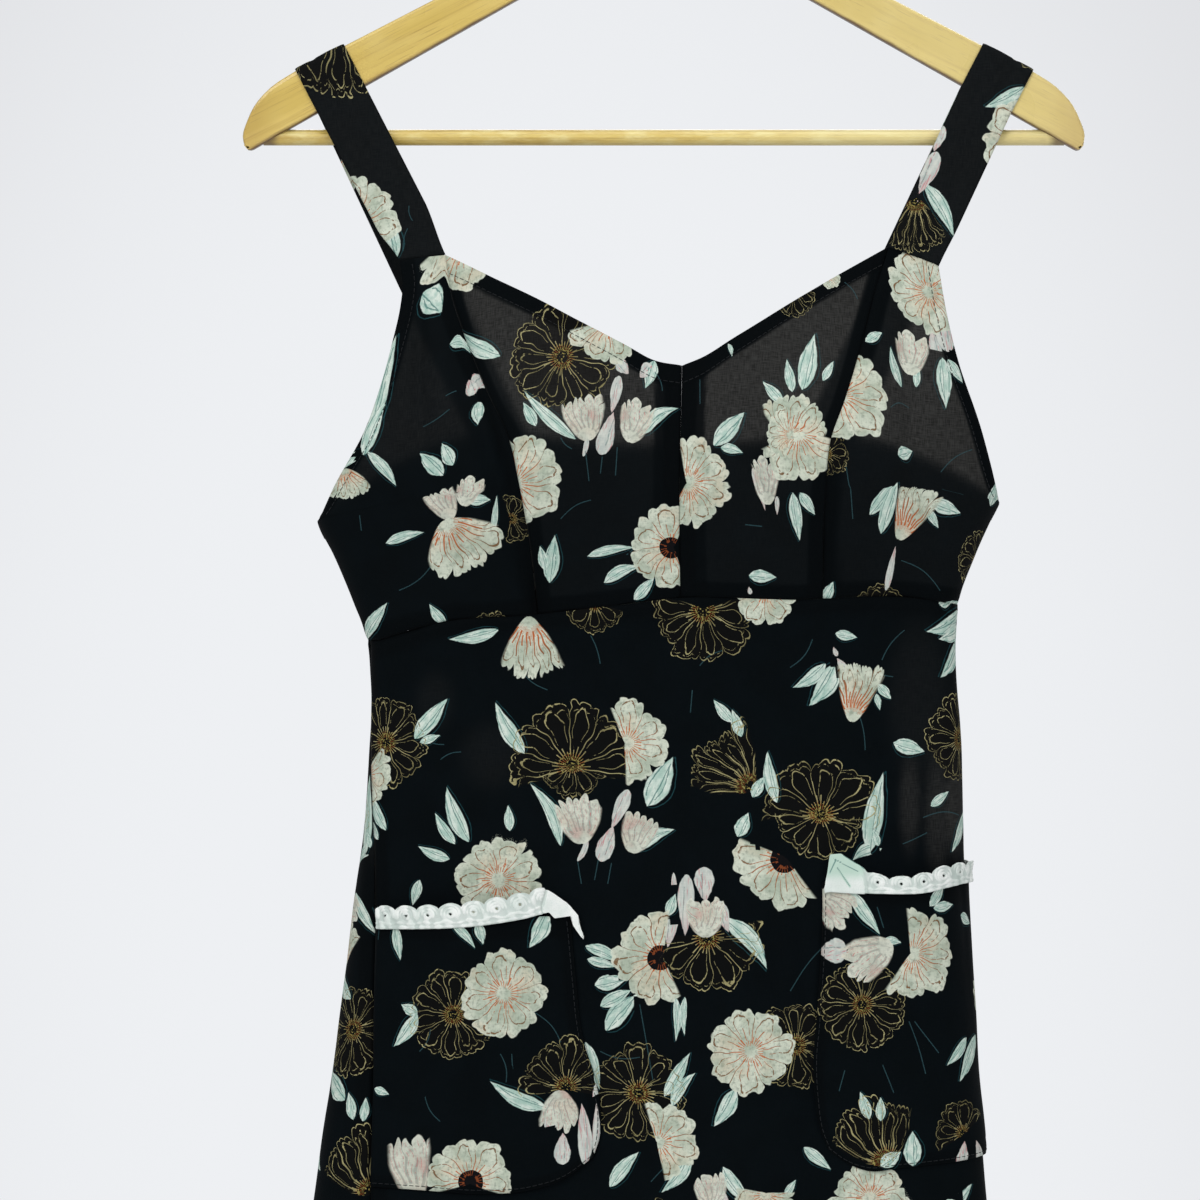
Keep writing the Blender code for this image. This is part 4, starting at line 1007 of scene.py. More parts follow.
LEAVES = {
    # base across, base height, tip across, tip height, look, half width as a share of the length, bend
    "skirt_front": (
        (-88, -464, -115, -469, LEAF, 0.13, 0.06), (-133, -522, -115, -500, LEAF, 0.17, 0),
        (-130, -524, -119, -520, LEAF, 0.2, 0), (-74, -530, -90, -502, LEAF, 0.14, 0.05),
        (-55, -579, -72, -545, LEAF, 0.1, -0.1), (-104, -577, -116, -547, LEAF, 0.14, 0.05),
        (-111, -578, -122, -561, LEAF, 0.15, 0.05), (-114, -586, -131, -579, LEAF, 0.17, 0.05),
        (-82, -571, -83, -557, LEAF, 0.2, 0), (-41, -571, -46, -587, PETAL, 0.1, 0.1),
        (-14, -581, 6, -570, LEAF, 0.17, 0.12), (-9, -558, 5, -531, LEAF, 0.22, 0),
        (-39, -467, -34, -482, STROKE, 0.1, 0.05), (15, -496, 14, -508, STROKE, 0.1, 0),
        (-46, -587, -44, -599, STROKE, 0.1, 0), (-28, -588, -30, -599, STROKE, 0.1, 0),
        (-35, -586, -37, -597, STROKE, 0.1, 0), (-117, -525, -127, -522, STROKE, 0.1, 0.1),
        (2, -616, 6, -604, LEAF, 0.25, 0), (31, -617, 55, -645, LEAF, 0.14, 0.1),
        (38, -708, 26, -728, LEAF, 0.2, 0.05), (74, -739, 89, -751, LEAF, 0.17, 0),
        (31, -749, 47, -770, LEAF, 0.15, -0.05), (64, -765, 70, -756, LEAF, 0.2, 0),
        (35, -770, 26, -759, PETAL, 0.2, 0), (39, -574, 45, -561, LEAF, 0.28, 0),
        (60, -556, 55, -528, LEAF, 0.13, 0.05), (109, -583, 117, -539, LEAF, 0.12, 0.03),
        (114, -579, 111, -570, LEAF, 0.25, 0), (91, -466, 103, -468, LEAF, 0.24, 0),
        (90, -473, 92, -478, PETAL, 0.25, 0), (92, -479, 97, -486, PETAL, 0.25, 0),
        (86, -482, 68, -495, LEAF, 0.17, 0.08), (92, -482, 77, -505, LEAF, 0.2, 0.06),
        (116, -480, 128, -464, STROKE, 0.1, 0.08), (114, -493, 121, -501, LEAF, 0.26, 0),
        (113, -498, 115, -507, LEAF, 0.2, 0), (116, -488, 122, -489, STROKE, 0.1, 0),
        (103, -507, 107, -528, STROKE, 0.1, 0.05), (122, -524, 139, -529, LEAF, 0.24, 0),
        (142, -558, 152, -550, LEAF, 0.2, 0), (158, -454, 139, -465, LEAF, 0.18, 0.1),
        (159, -463, 146, -469, LEAF, 0.2, 0.05), (160, -466, 147, -490, LEAF, 0.19, 0.05),
        (146, -450, 154, -448, LEAF, 0.3, 0), (116, -580, 100, -587, LEAF, 0.2, -0.15),
        (160, -561, 153, -583, LEAF, 0.14, 0), (138, -564, 157, -563, STROKE, 0.1, 0.1),
        (127, -578, 140, -572, STROKE, 0.1, 0), (-13, -663, -6, -703, STROKE, 0.05, 0),
        (-42, -632, -22, -641, LEAF, 0.16, 0.06), (-41, -639, -25, -643, LEAF, 0.17, 0),
        (-37, -653, -19, -649, LEAF, 0.24, 0), (-34, -664, -17, -655, LEAF, 0.2, 0),
        (-31, -677, -13, -657, LEAF, 0.2, 0.05), (6, -659, 6, -683, LEAF, 0.1, 0.05),
        (11, -659, 11, -680, LEAF, 0.1, -0.05), (0, -712, 14, -688, LEAF, 0.13, 0),
        (4, -717, 17, -699, LEAF, 0.16, 0.1), (-29, -760, -13, -741, LEAF, 0.16, 0.05),
        (-42, -683, -34, -709, LEAF, 0.14, 0), (-148, -571, -156, -549, LEAF, 0.14, 0.05),
        (-152, -576, -159, -563, LEAF, 0.16, 0), (-158, -469, -147, -449, LEAF, 0.15, 0),
        (-119, -533, -108, -529, STROKE, 0.1, 0.1), (19, -483, 31, -475, STROKE, 0.06, 0.1),
        (36, -513, 26, -501, LEAF, 0.2, 0), (41, -521, 36, -506, LEAF, 0.2, 0),
        (47, -553, 53, -542, LEAF, 0.26, 0), (79, -469, 67, -484, STROKE, 0.06, 0.1),
        (-62, -496, -77, -484, STROKE, 0.06, 0.1), (-7, -757, 19, -741, STROKE, 0.06, 0.1),
        (14, -741, -2, -763, LEAF, 0.15, 0.1), (-130, -597, -134, -611, LEAF, 0.2, 0),
        (67, -656, 94, -624, STROKE, 0.04, 0.05), (-13, -691, -34, -688, STROKE, 0.05, 0.1),
        (-27, -568, -34, -587, PETAL, 0.24, 0), (-28, -570, -19, -549, PETAL, 0.17, 0),
        (11, -627, 12, -594, PETAL, 0.14, 0), (2, -633, 5, -610, PETAL, 0.18, 0),
        (6, -621, 5, -593, PETAL, 0.06, 0), (22, -609, 21, -590, PETAL, 0.29, 0),
        (34, -625, 29, -608, PETAL, 0.2, 0),
    ),
    "skirt_back": (
        (-167, -661, -178, -640, LEAF, 0.15, 0.1), (-170, -715, -177, -699, LEAF, 0.2, 0),
    ),
    "pocket_left": (
        (-143, -621, -140, -640, LEAF, 0.16, 0), (-113, -619, -100, -633, LEAF, 0.13, 0.05),
        (-99, -619, -96, -631, LEAF, 0.24, 0), (-62, -614, -72, -633, LEAF, 0.22, 0.05),
        (-131, -668, -140, -663, LEAF, 0.3, 0), (-131, -668, -144, -686, LEAF, 0.18, 0.05),
        (-62, -718, -93, -703, LEAF, 0.13, 0.08), (-34, -709, -36, -693, LEAF, 0.16, 0),
        (-36, -683, -42, -661, LEAF, 0.15, 0), (-133, -766, -139, -756, LEAF, 0.34, 0),
        (-87, -689, -84, -704, STROKE, 0.08, 0.1), (-81, -689, -80, -705, STROKE, 0.08, 0),
        (-124, -676, -130, -688, STROKE, 0.08, 0.1), (-69, -667, -55, -683, STROKE, 0.05, 0.1),
        (-119, -725, -127, -712, STROKE, 0.06, 0.1), (-154, -708, -146, -711, LEAF, 0.25, 0),
        (-156, -608, -152, -629, STROKE, 0.06, 0.1), (-54, -731, -54, -748, PETAL, 0.29, 0),
        (-44, -715, -42, -748, PETAL, 0.15, 0), (-36, -715, -37, -742, PETAL, 0.1, 0),
        (-59, -714, -61, -731, PETAL, 0.22, 0), (-33, -705, -37, -671, PETAL, 0.035, 0),
        (-35, -732, -36, -705, PETAL, 0.12, 0), (-42, -651, -47, -648, LEAF, 0.3, 0),
    ),
    "pocket_right": (
        (82, -635, 97, -634, PETAL, 0.45, 0), (98, -602, 115, -626, LEAF, 0.13, 0),
        (117, -628, 126, -630, LEAF, 0.25, 0), (141, -611, 149, -599, LEAF, 0.2, 0),
        (143, -612, 154, -610, LEAF, 0.2, 0), (158, -616, 163, -621, LEAF, 0.25, 0),
        (161, -681, 150, -696, LEAF, 0.15, 0.05), (166, -680, 157, -705, LEAF, 0.16, 0),
        (109, -724, 104, -709, LEAF, 0.2, 0), (115, -725, 115, -712, LEAF, 0.22, 0),
        (132, -749, 132, -730, LEAF, 0.26, 0), (115, -749, 126, -741, LEAF, 0.3, 0),
        (160, -736, 158, -752, PETAL, 0.25, 0), (166, -736, 171, -753, PETAL, 0.22, 0),
        (130, -672, 139, -700, STROKE, 0.04, 0.03), (133, -672, 146, -689, STROKE, 0.04, 0),
        (116, -695, 122, -710, STROKE, 0.06, 0), (96, -698, 93, -709, STROKE, 0.07, 0),
        (118, -627, 113, -611, STROKE, 0.06, 0), (78, -747, 86, -752, STROKE, 0.1, 0.1),
        (85, -604, 81, -625, PETAL, 0.07, 0),
    ),
    "bodice_centre_left": (
        (-67, -457, -66, -461, PETAL, 0.3, 0), (-5, -321, -10, -336, LEAF, 0.24, 0),
        (-41, -357, -43, -372, PETAL, 0.1, 0.05), (-13, -361, -16, -347, PETAL, 0.26, 0),
        (-11, -360, 8, -346, LEAF, 0.16, 0.14), (-47, -363, -75, -337, LEAF, 0.09, 0.04),
        (-68, -356, -75, -343, LEAF, 0.2, 0), (-49, -368, -55, -362, STROKE, 0.15, 0.1),
        (-42, -369, -40, -385, STROKE, 0.07, 0), (-33, -372, -34, -381, STROKE, 0.1, 0),
        (-25, -367, -26, -382, STROKE, 0.08, 0), (-41, -425, -15, -420, LEAF, 0.1, 0.05),
        (-32, -439, -12, -430, LEAF, 0.16, 0.1), (-16, -448, -5, -436, LEAF, 0.2, 0),
        (-61, -439, -58, -413, LEAF, 0.17, 0), (-63, -432, -66, -419, LEAF, 0.2, 0),
        (-13, -416, -26, -427, STROKE, 0.08, 0.1), (-5, -327, -1, -337, STROKE, 0.1, 0.1),
        (-87, -319, -110, -304, LEAF, 0.14, 0.06), (-19, -328, -25, -321, PETAL, 0.4, 0),
        (-13, -330, -7, -323, PETAL, 0.4, 0), (-55, -405, -39, -395, STROKE, 0.05, 0.1),
        (-27, -348, -34, -371, PETAL, 0.21, 0), (-28, -349, -24, -329, PETAL, 0.17, 0),
    ),
    "bodice_centre_right": (
        (26, -366, 43, -348, LEAF, 0.21, 0), (30, -367, 42, -370, LEAF, 0.2, 0.05),
        (63, -344, 52, -332, LEAF, 0.2, 0), (68, -338, 65, -320, LEAF, 0.17, 0),
        (73, -337, 80, -306, LEAF, 0.16, 0), (84, -332, 90, -321, LEAF, 0.17, 0),
        (54, -401, 47, -378, PETAL, 0.08, 0), (60, -403, 60, -393, PETAL, 0.14, 0),
        (68, -391, 72, -417, LEAF, 0.13, 0), (72, -391, 80, -403, LEAF, 0.22, 0),
        (45, -435, 60, -436, LEAF, 0.25, 0), (45, -441, 46, -445, PETAL, 0.3, 0),
        (34, -312, 36, -319, LEAF, 0.2, 0.1), (96, -279, 103, -288, STROKE, 0.08, 0.1),
        (43, -408, 52, -409, STROKE, 0.08, 0), (86, -379, 93, -407, STROKE, 0.04, 0),
        (19, -344, 19, -331, STROKE, 0.05, 0),
    ),
    "bodice_side_left": (
        (-116, -461, -125, -450, LEAF, 0.2, 0.05), (-128, -284, -118, -295, LEAF, 0.3, 0),
        (-103, -339, -95, -329, PETAL, 0.35, 0), (-104, -331, -101, -339, PETAL, 0.35, 0),
        (-99, -343, -99, -356, LEAF, 0.28, 0), (-112, -377, -118, -365, LEAF, 0.22, 0),
        (-117, -382, -130, -370, LEAF, 0.2, 0), (-104, -396, -92, -395, LEAF, 0.26, 0.08),
        (-91, -412, -89, -392, LEAF, 0.1, 0), (-156, -359, -142, -306, LEAF, 0.1, 0.03),
        (-160, -371, -148, -342, LEAF, 0.13, 0.03), (-158, -369, -142, -388, LEAF, 0.12, 0.06),
        (-161, -368, -172, -379, LEAF, 0.15, 0), (-148, -418, -127, -412, LEAF, 0.13, 0.05),
        (-114, -312, -99, -316, LEAF, 0.24, 0), (-116, -340, -103, -337, STROKE, 0.06, 0.1),
        (-114, -347, -128, -356, STROKE, 0.06, 0.05), (-162, -403, -161, -411, STROKE, 0.1, 0),
        (-122, -427, -141, -443, STROKE, 0.05, 0.1), (-158, -469, -147, -449, LEAF, 0.15, 0),
        (-99, -304, -103, -288, LEAF, 0.14, 0), (-95, -283, -87, -288, STROKE, 0.1, 0),
    ),
    "bodice_side_right": (
        (85, -449, 90, -438, LEAF, 0.25, 0), (126, -335, 120, -313, LEAF, 0.12, 0.05),
        (134, -335, 135, -322, LEAF, 0.15, 0), (107, -311, 116, -306, LEAF, 0.28, 0),
        (148, -319, 150, -347, LEAF, 0.15, 0), (151, -320, 159, -333, LEAF, 0.2, 0),
        (109, -403, 121, -388, LEAF, 0.16, 0), (115, -413, 124, -385, LEAF, 0.12, 0.03),
        (142, -396, 158, -402, LEAF, 0.24, 0), (140, -400, 146, -410, LEAF, 0.2, 0),
        (124, -371, 132, -369, LEAF, 0.4, 0), (174, -398, 179, -383, LEAF, 0.2, 0),
        (147, -380, 164, -368, STROKE, 0.05, 0.1), (148, -389, 159, -392, STROKE, 0.06, 0),
        (120, -346, 130, -346, STROKE, 0.1, 0.2), (123, -419, 118, -443, PETAL, 0.08, 0),
        (141, -459, 159, -449, LEAF, 0.14, 0.08), (96, -376, 100, -405, STROKE, 0.04, 0),
        (147, -288, 151, -316, PETAL, 0.2, 0), (142, -304, 146, -321, PETAL, 0.2, 0),
        (126, -427, 147, -443, STROKE, 0.05, 0.1),
    ),
    "strap_left": (
        (-143, -266, -147, -242, LEAF, 0.2, 0.05), (-156, -252, -151, -235, LEAF, 0.16, 0),
        (-134, -246, -136, -238, STROKE, 0.15, 0.1), (-139, -262, -135, -247, STROKE, 0.08, 0.1),
    ),
    "strap_right": (
        (193, -174, 171, -185, LEAF, 0.17, 0.06), (139, -226, 155, -255, LEAF, 0.13, 0.06),
        (144, -209, 149, -195, PETAL, 0.24, 0), (136, -232, 146, -209, PETAL, 0.19, 0),
        (132, -232, 137, -219, PETAL, 0.28, 0), (135, -236, 140, -223, PETAL, 0.2, 0),
    ),
}


def carried(points, flat, rows, ends):
    """Rows of the print's tables with their one or two places moved from the front view to the cloth."""
    rows = np.array(rows, float)
    for first in range(0, 2 * ends, 2):
        rows[:, first : first + 2] = nearest_on_cloth(points, flat, rows[:, first : first + 2])
    return rows


def moved_on(rows, ends, shifts):
    """Copies of the rows, each moved across and up by one of the shifts."""
    copies = []
    for shift in shifts:
        copy = np.array(rows, float)
        for first in range(0, 2 * ends, 2):
            copy[:, first : first + 2] += shift
        copies.append(copy)
    return np.concatenate(copies)


def gold_first(rows):
    """Gold outlines were printed before the white, so the white lies over them."""
    return rows[np.argsort(rows[:, 3] != GOLD, kind="stable")]


def front_print(name, points, flat, shifts=((0, 0),)):
    """The flowers and leaves that show on this piece from the front, and their copies."""
    flowers = gold_first(moved_on(carried(points, flat, FLOWERS[name], 1), 1, shifts))
    return flowers, moved_on(carried(points, flat, LEAVES[name], 2), 2, shifts)


def together(*prints):
    """Several lots of flowers and leaves as one, the first lot on top."""
    flowers, leaves = zip(*prints)
    return gold_first(np.concatenate(flowers)), np.concatenate(leaves)


def whole_print(names, shifts):
    """The flowers and leaves of these pieces together, for a panel that the picture doesn't show."""
    flowers = np.concatenate([np.array(FLOWERS[name], float) for name in names])
    leaves = np.concatenate([np.array(LEAVES[name], float) for name in names])
    return gold_first(moved_on(flowers, 1, shifts)), moved_on(leaves, 2, shifts)


def clear_of(rows, flowers, room):
    """The rows whose place keeps this much room from the middles of these flowers."""
    away = np.hypot(*(rows[:, None, :2] - flowers[None, :, :2]).transpose(2, 0, 1)).min(axis=1)
    return rows[away > room]


def near_edge(distance, width):
    """1 within this width of an edge, where the cloth is turned under, and 0 beyond it."""
    return 1 / (1 + np.exp((distance - width) / 0.35))


def seam_dip(*distances):
    """The cloth rounds down into its seams."""
    return -sum(0.75 * bell(distance / 1.7) for distance in distances)


def along_cloth(points, distance, at):
    """The line over the cloth, one place a row, where this distance from an edge comes to a value."""
    line = []
    for row, away in zip(points, distance):
        order = np.argsort(away)
        line.append([np.interp(at, away[order], row[order, axis]) for axis in range(3)])
    return np.array(line)


def to_sew(points, distance, at, across=False):
    """A line for stitches over the outside of the cloth, and the way out from it."""
    if across:
        distance = distance.T
    on, over = (moved_out(points, np.full(points.shape[:2], CLOTH / 2 + rise)) for rise in (0, 1))
    if across:
        on, over = on.swapaxes(0, 1), over.swapaxes(0, 1)
    line = along_cloth(on, distance, at)
    return line, along_cloth(over, distance, at) - line


sewing = {}  # for each piece, the lines that are sewn over it
CLOTH = 0.6  # thickness of a single layer's shell
REPEAT_DOWN = -322.0
REPEAT_ACROSS = 318.0
HEM_TURNED = 14.0  # the cloth is turned under by this much
ALLOWANCE = 9.0  # the cloth inside a seam, which shows darker through the front
SEWN_INSIDE = 1.5  # from a turned edge's fold inside the cloth to its line of stitches
# Where the light comes through the skirt, or the print of the back shows: across, height, half width, half
# height, and how much
SKIRT_SHEER = (
    (131, -557, 5.5, 24, 0.5), (146, -562, 7, 32, 0.55), (156, -556, 5, 28, 0.8), (136, -500, 16, 40, 0.15),
    (-122, -502, 10, 15, 0.13), (-92, -531, 16, 17, 0.13),
)
SKIRT_CREASES = (
    # across and height of one end and the other, half width, depth
    (-33, -628, -39, -740, 4.5, 1.6), (73, -600, 79, -748, 4.5, 1.7), (18, -492, 8, -610, 7.0, 0.9),
    (-92, -476, -104, -600, 6.0, 1.0), (112, -466, 124, -590, 6.0, 1.1), (52, -470, 46, -560, 6.0, 0.7),
    (-138, -500, -152, -650, 6.0, 0.9), (-2, -760, -14, -1040, 9.0, 1.4), (96, -820, 118, -1100, 9.0, 1.6),
    (-110, -800, -140, -1090, 9.0, 1.5),
)

SKIRTS = {
    # its two seams, columns and rows, share of the creases' depth, and the cut's size and area in metres
    "skirt_front": (left_seam, right_seam, 136, 218, 1.0, (0.426, 0.668), 0.246),
    "skirt_back": (right_seam, left_seam_from_behind, 132, 218, -0.8, (0.536, 0.661), 0.2715),
}
for name, (start, end, columns, rows, crease_share, cut, cut_area) in SKIRTS.items():
    points = inset(dress(*skirt_panel(start, end, columns, rows)), SEAM_INSET, SEAM_INSET)
    flat = laid_flat(points)
    left, right, bottom, top = from_edges(points)
    seed = len(name)
    across, height = points[..., 0] if name == "skirt_front" else -points[..., 0], points[..., 2]
    relief = seam_dip(left, right, top) + slack(flat, seed, 0.5) + puckers(flat[..., 0], top, seed + 1)
    relief += crease_share * creases(SKIRT_CREASES, across, height)
    relief += 0.35 * near_edge(bottom, HEM_TURNED) - 0.25 * bell((bottom - HEM_TURNED) / 0.8)
    points = moved_out(points, relief)
    if name == "skirt_front":
        below = [(0, REPEAT_DOWN), (REPEAT_ACROSS, REPEAT_DOWN + 12), (-REPEAT_ACROSS, REPEAT_DOWN - 10)]
        lower = [front_print(part, points, flat, below) for part in (name, "pocket_left", "pocket_right")]
        flowers, leaves = together(front_print(name, points, flat), *lower)
    else:
        shifts = [(side * REPEAT_ACROSS + 40, drop) for drop in (0, REPEAT_DOWN) for side in (-1, 0, 1)]
        hidden = whole_print(["skirt_front", "pocket_left", "pocket_right"], shifts)
        in_view = front_print(name, points, flat)
        hidden = clear_of(hidden[0], in_view[0], 34), clear_of(hidden[1], in_view[0], 30)
        flowers, leaves = together(in_view, hidden)
    sewing[name] = [to_sew(points, bottom, HEM_TURNED - SEWN_INSIDE, across=True)]
    doubled = near_edge(np.minimum(left, right), ALLOWANCE) + near_edge(top, ALLOWANCE)
    doubled += near_edge(bottom, HEM_TURNED)
    painted_light = np.zeros(across.shape)
    for x, z, half_width, half_height, share in SKIRT_SHEER:
        spot = ((across - x) / half_width) ** 2 + ((points[..., 2] - z) / half_height) ** 2
        painted_light += (points[..., 1] < 0) * share * np.exp(-(spot**2))
    masks = {"painted_light": painted_light, "doubled": 0.7 * doubled.ravel()}
    skirt = cloth_piece(name, points, CLOTH, flat, flowers, leaves, masks, (right_side, wrong_side))
    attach(skirt, "root")
    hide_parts(name)

# ---- Bodice ------------------------------------------------------------------------------------------
# Five panels of the same cotton: two in the middle of the front, shaped over the bust by princess seams, two
# at its sides and one behind. The neckline and armholes are faced inside, and their edges are painted darker,
# as painted shade where the doubled cloth lets less light through.

# Seams and edges of the bodice's front: height, across
LEFT_PRINCESS = (
    (-475, -66.0), (-454.5, -67.7), (-407, -73.0), (-384, -76.8), (-359.6, -82.6), (-340.4, -92.2),
    (-307.9, -106.5), (-282.9, -114.0), (-264.2, -116.2),
)
RIGHT_PRINCESS = (
    (-475, 84.2), (-447, 84.2), (-394.8, 84.2), (-359.6, 87.9), (-345.2, 93.5), (-312.2, 104.5),
    (-282.9, 112.5), (-260.0, 119.2),
)
CENTRE_FRONT = (
    (-475, 9.3), (-400, 8.0), (-323.4, 9.5),
)
LEFT_ARMHOLE = (
    (-406, -185.0), (-388.4, -176.4), (-359.6, -159.9), (-332.4, -150.3), (-312.2, -145.0), (-290.9, -140.4),
    (-280.2, -139.4), (-266.9, -141.2),
)
RIGHT_ARMHOLE = (
    (-396.4, 179.1), (-359.6, 170.0), (-322.3, 157.2), (-293.5, 150.3), (-269.8, 146.6),
)

# Neckline: across, height
LEFT_NECKLINE = (
    (-116.2, -264.2), (-93.3, -275.4), (-67.7, -287.7), (-48.5, -297.8), (-34.1, -305.3), (-19.7, -313.0),
    (-6.0, -320.4), (9.5, -323.4),
)
RIGHT_NECKLINE = (
    (9.5, -323.4), (21.3, -318.6), (37.3, -308.5), (73.0, -286.6), (90.1, -276.5), (119.2, -260.0),
)

BACK_TOP = (
    # across, height, from the right underarm to the left one
    (179.1, -396.4), (158.0, -384.0), (130.0, -371.0), (101.0, -363.0), (73.0, -363.0), (40.0, -366.5),
    (0.0, -368.0), (-40.0, -366.5), (-73.0, -363.0), (-101.0, -363.5), (-130.0, -372.5), (-158.0, -388.0),
    (-185.0, -406.0),
)


def patch(left, right, bottom, top):
    """Angles and heights of a panel's grid between its four edges, each a list of (angle, height)."""
    across = np.linspace(0, 1, len(bottom))[None, :, None]
    up = np.linspace(0, 1, len(left))[:, None, None]
    sides = left[:, None] * (1 - across) + right[:, None] * across
    ends = bottom[None] * (1 - up) + top[None] * up
    corners = (bottom[0] * (1 - across) + bottom[-1] * across) * (1 - up) + (
        top[0] * (1 - across) + top[-1] * across
    ) * up
    return sides + ends - corners


def up_seam(seam, low, high, count):
    """Points up a seam of the front, from a table of height and across."""
    height = np.linspace(low, high, count + 1)
    return np.stack([front_angle(column(seam, height), height), height], -1)


def up_side(angle, low, high, count):
    """Points up a side seam."""
    return np.stack([np.full(count + 1, float(angle)), np.linspace(low, high, count + 1)], -1)


def along_edge(edge, start, end, count):
    """Points along an edge of the front, from a table of across and height."""
    across = np.linspace(start, end, count + 1)
    height = column(edge, across)
    return np.stack([front_angle(across, height), height], -1)


def along_waist(start, end, count):
    angle = np.linspace(start, end, count + 1)
    return np.stack([angle, waist(angle)], -1)


def waist_angle(seam):
    """Angle at which this seam of the front meets the waist."""
    return float(front_angle(column(seam, WAIST_LEVEL), WAIST_LEVEL))


def bodice_side(side, columns, side_rows, armhole_rows):
    """The panel from the side seam and armhole to the princess seam, up to the strap."""
    if side == "left":
        edge, armhole, princess = -90.0, LEFT_ARMHOLE, LEFT_PRINCESS
    else:
        edge, armhole, princess = 90.0, RIGHT_ARMHOLE, RIGHT_PRINCESS
    underarm, shoulder = armhole[0][0], armhole[-1][0]
    low = float(waist(edge))
    inner = waist_angle(princess)
    below = up_side(edge, low, underarm, side_rows)[:-1]
    outer_edge = np.concatenate([below, up_seam(armhole, underarm, shoulder, armhole_rows)])
    outer_edge[side_rows][0] = edge
    princess_edge = up_seam(princess, float(waist(inner)), princess[-1][0], side_rows + armhole_rows)
    top = np.linspace(outer_edge[-1], princess_edge[-1], columns + 1)
    bottom = along_waist(edge, inner, columns)
    edges = (outer_edge, princess_edge, bottom, top)
    if side == "right":
        edges = (princess_edge, outer_edge, bottom[::-1], top[::-1])
    return np.moveaxis(patch(*edges), -1, 0)


def bodice_centre(side, columns, rows):
    """The panel from the princess seam to the seam down the middle of the front."""
    if side == "left":
        princess, neckline = LEFT_PRINCESS, LEFT_NECKLINE
    else:
        princess, neckline = RIGHT_PRINCESS, RIGHT_NECKLINE
    seams = []
    for seam in (princess, CENTRE_FRONT):
        foot = waist_angle(seam)
        seams.append(up_seam(seam, float(waist(foot)), seam[-1][0], rows))
    if side == "right":
        seams.reverse()
    bottom = along_waist(seams[0][0][0], seams[1][0][0], columns)
    top = along_edge(neckline, neckline[0][0], neckline[-1][0], columns)
    return np.moveaxis(patch(*seams, bottom, top), -1, 0)


def bodice_back(columns, rows):
    """The back, in one panel from side seam to side seam."""
    right = up_side(90, float(waist(90)), BACK_TOP[0][1], rows)
    left = up_side(270, float(waist(270)), BACK_TOP[-1][1], rows)
    share = np.linspace(0, 1, columns + 1)
    angle = 90 + 180 * share
    across = share_across(angle)
    lowest, highest = BACK_TOP[-1][0], BACK_TOP[0][0]
    height = column(BACK_TOP, (lowest + highest) / 2 + (highest - lowest) / 2 * across)
    top = np.stack([angle, height], -1)
    return np.moveaxis(patch(right, left, along_waist(90, 270, columns), top), -1, 0)


NECK_FACING = 11.0
ARMHOLE_FACING = 8.0
BODICE_ALLOWANCE = 8.0
CENTRE_ALLOWANCE = 14.0
BODICE_SEED = 30
BODICE_CREASES = (
    # across and height of one end and the other, half width, depth
    (-113, -292, -70, -446, 3.2, 1.6), (-131, -290, -129, -366, 3.0, 1.3), (46, -358, 52, -408, 4.5, 1.2),
    (128, -290, 131, -376, 4.0, 1.0), (-30, -440, -52, -372, 5.0, 0.7), (30, -444, 44, -392, 5.0, 0.6),
    (-150, -460, -158, -396, 5.0, 0.8), (140, -446, 150, -390, 5.0, 0.8), (-96, -330, -60, -352, 6.0, -0.6),
    (92, -330, 60, -350, 6.0, -0.6), (2, -330, 4, -430, 3.5, 0.6),
)
# How much light comes through each panel where nothing is behind it, above the top of the back
SHEER = {
    "bodice_side_left": 0.22,
    "bodice_centre_left": 0.95,
    "bodice_centre_right": 1.15,
    "bodice_side_right": 1.2,
}
# The back straps, which darken the front where they pass behind it: across and height at each end, half width
BACK_STRAPS = ((-183.6, -160.0, -87.0, -363.0, 16.0), (183.6, -160.0, 87.0, -363.0, 16.0))


def seen_through(points):
    """1 where only the wall is behind the front, and 0 where the back or its straps are."""
    across, height = points[..., 0], points[..., 2]
    clear = 1 / (1 + np.exp((column(BACK_TOP, across) + 3 - height) / 1.6))
    for x0, z0, x1, z1, half in BACK_STRAPS:
        middle = x0 + (x1 - x0) * (height - z0) / (z1 - z0)
        clear = clear * (1 - 0.9 / (1 + np.exp((abs(across - middle) - half) / 0.9)))
    return clear


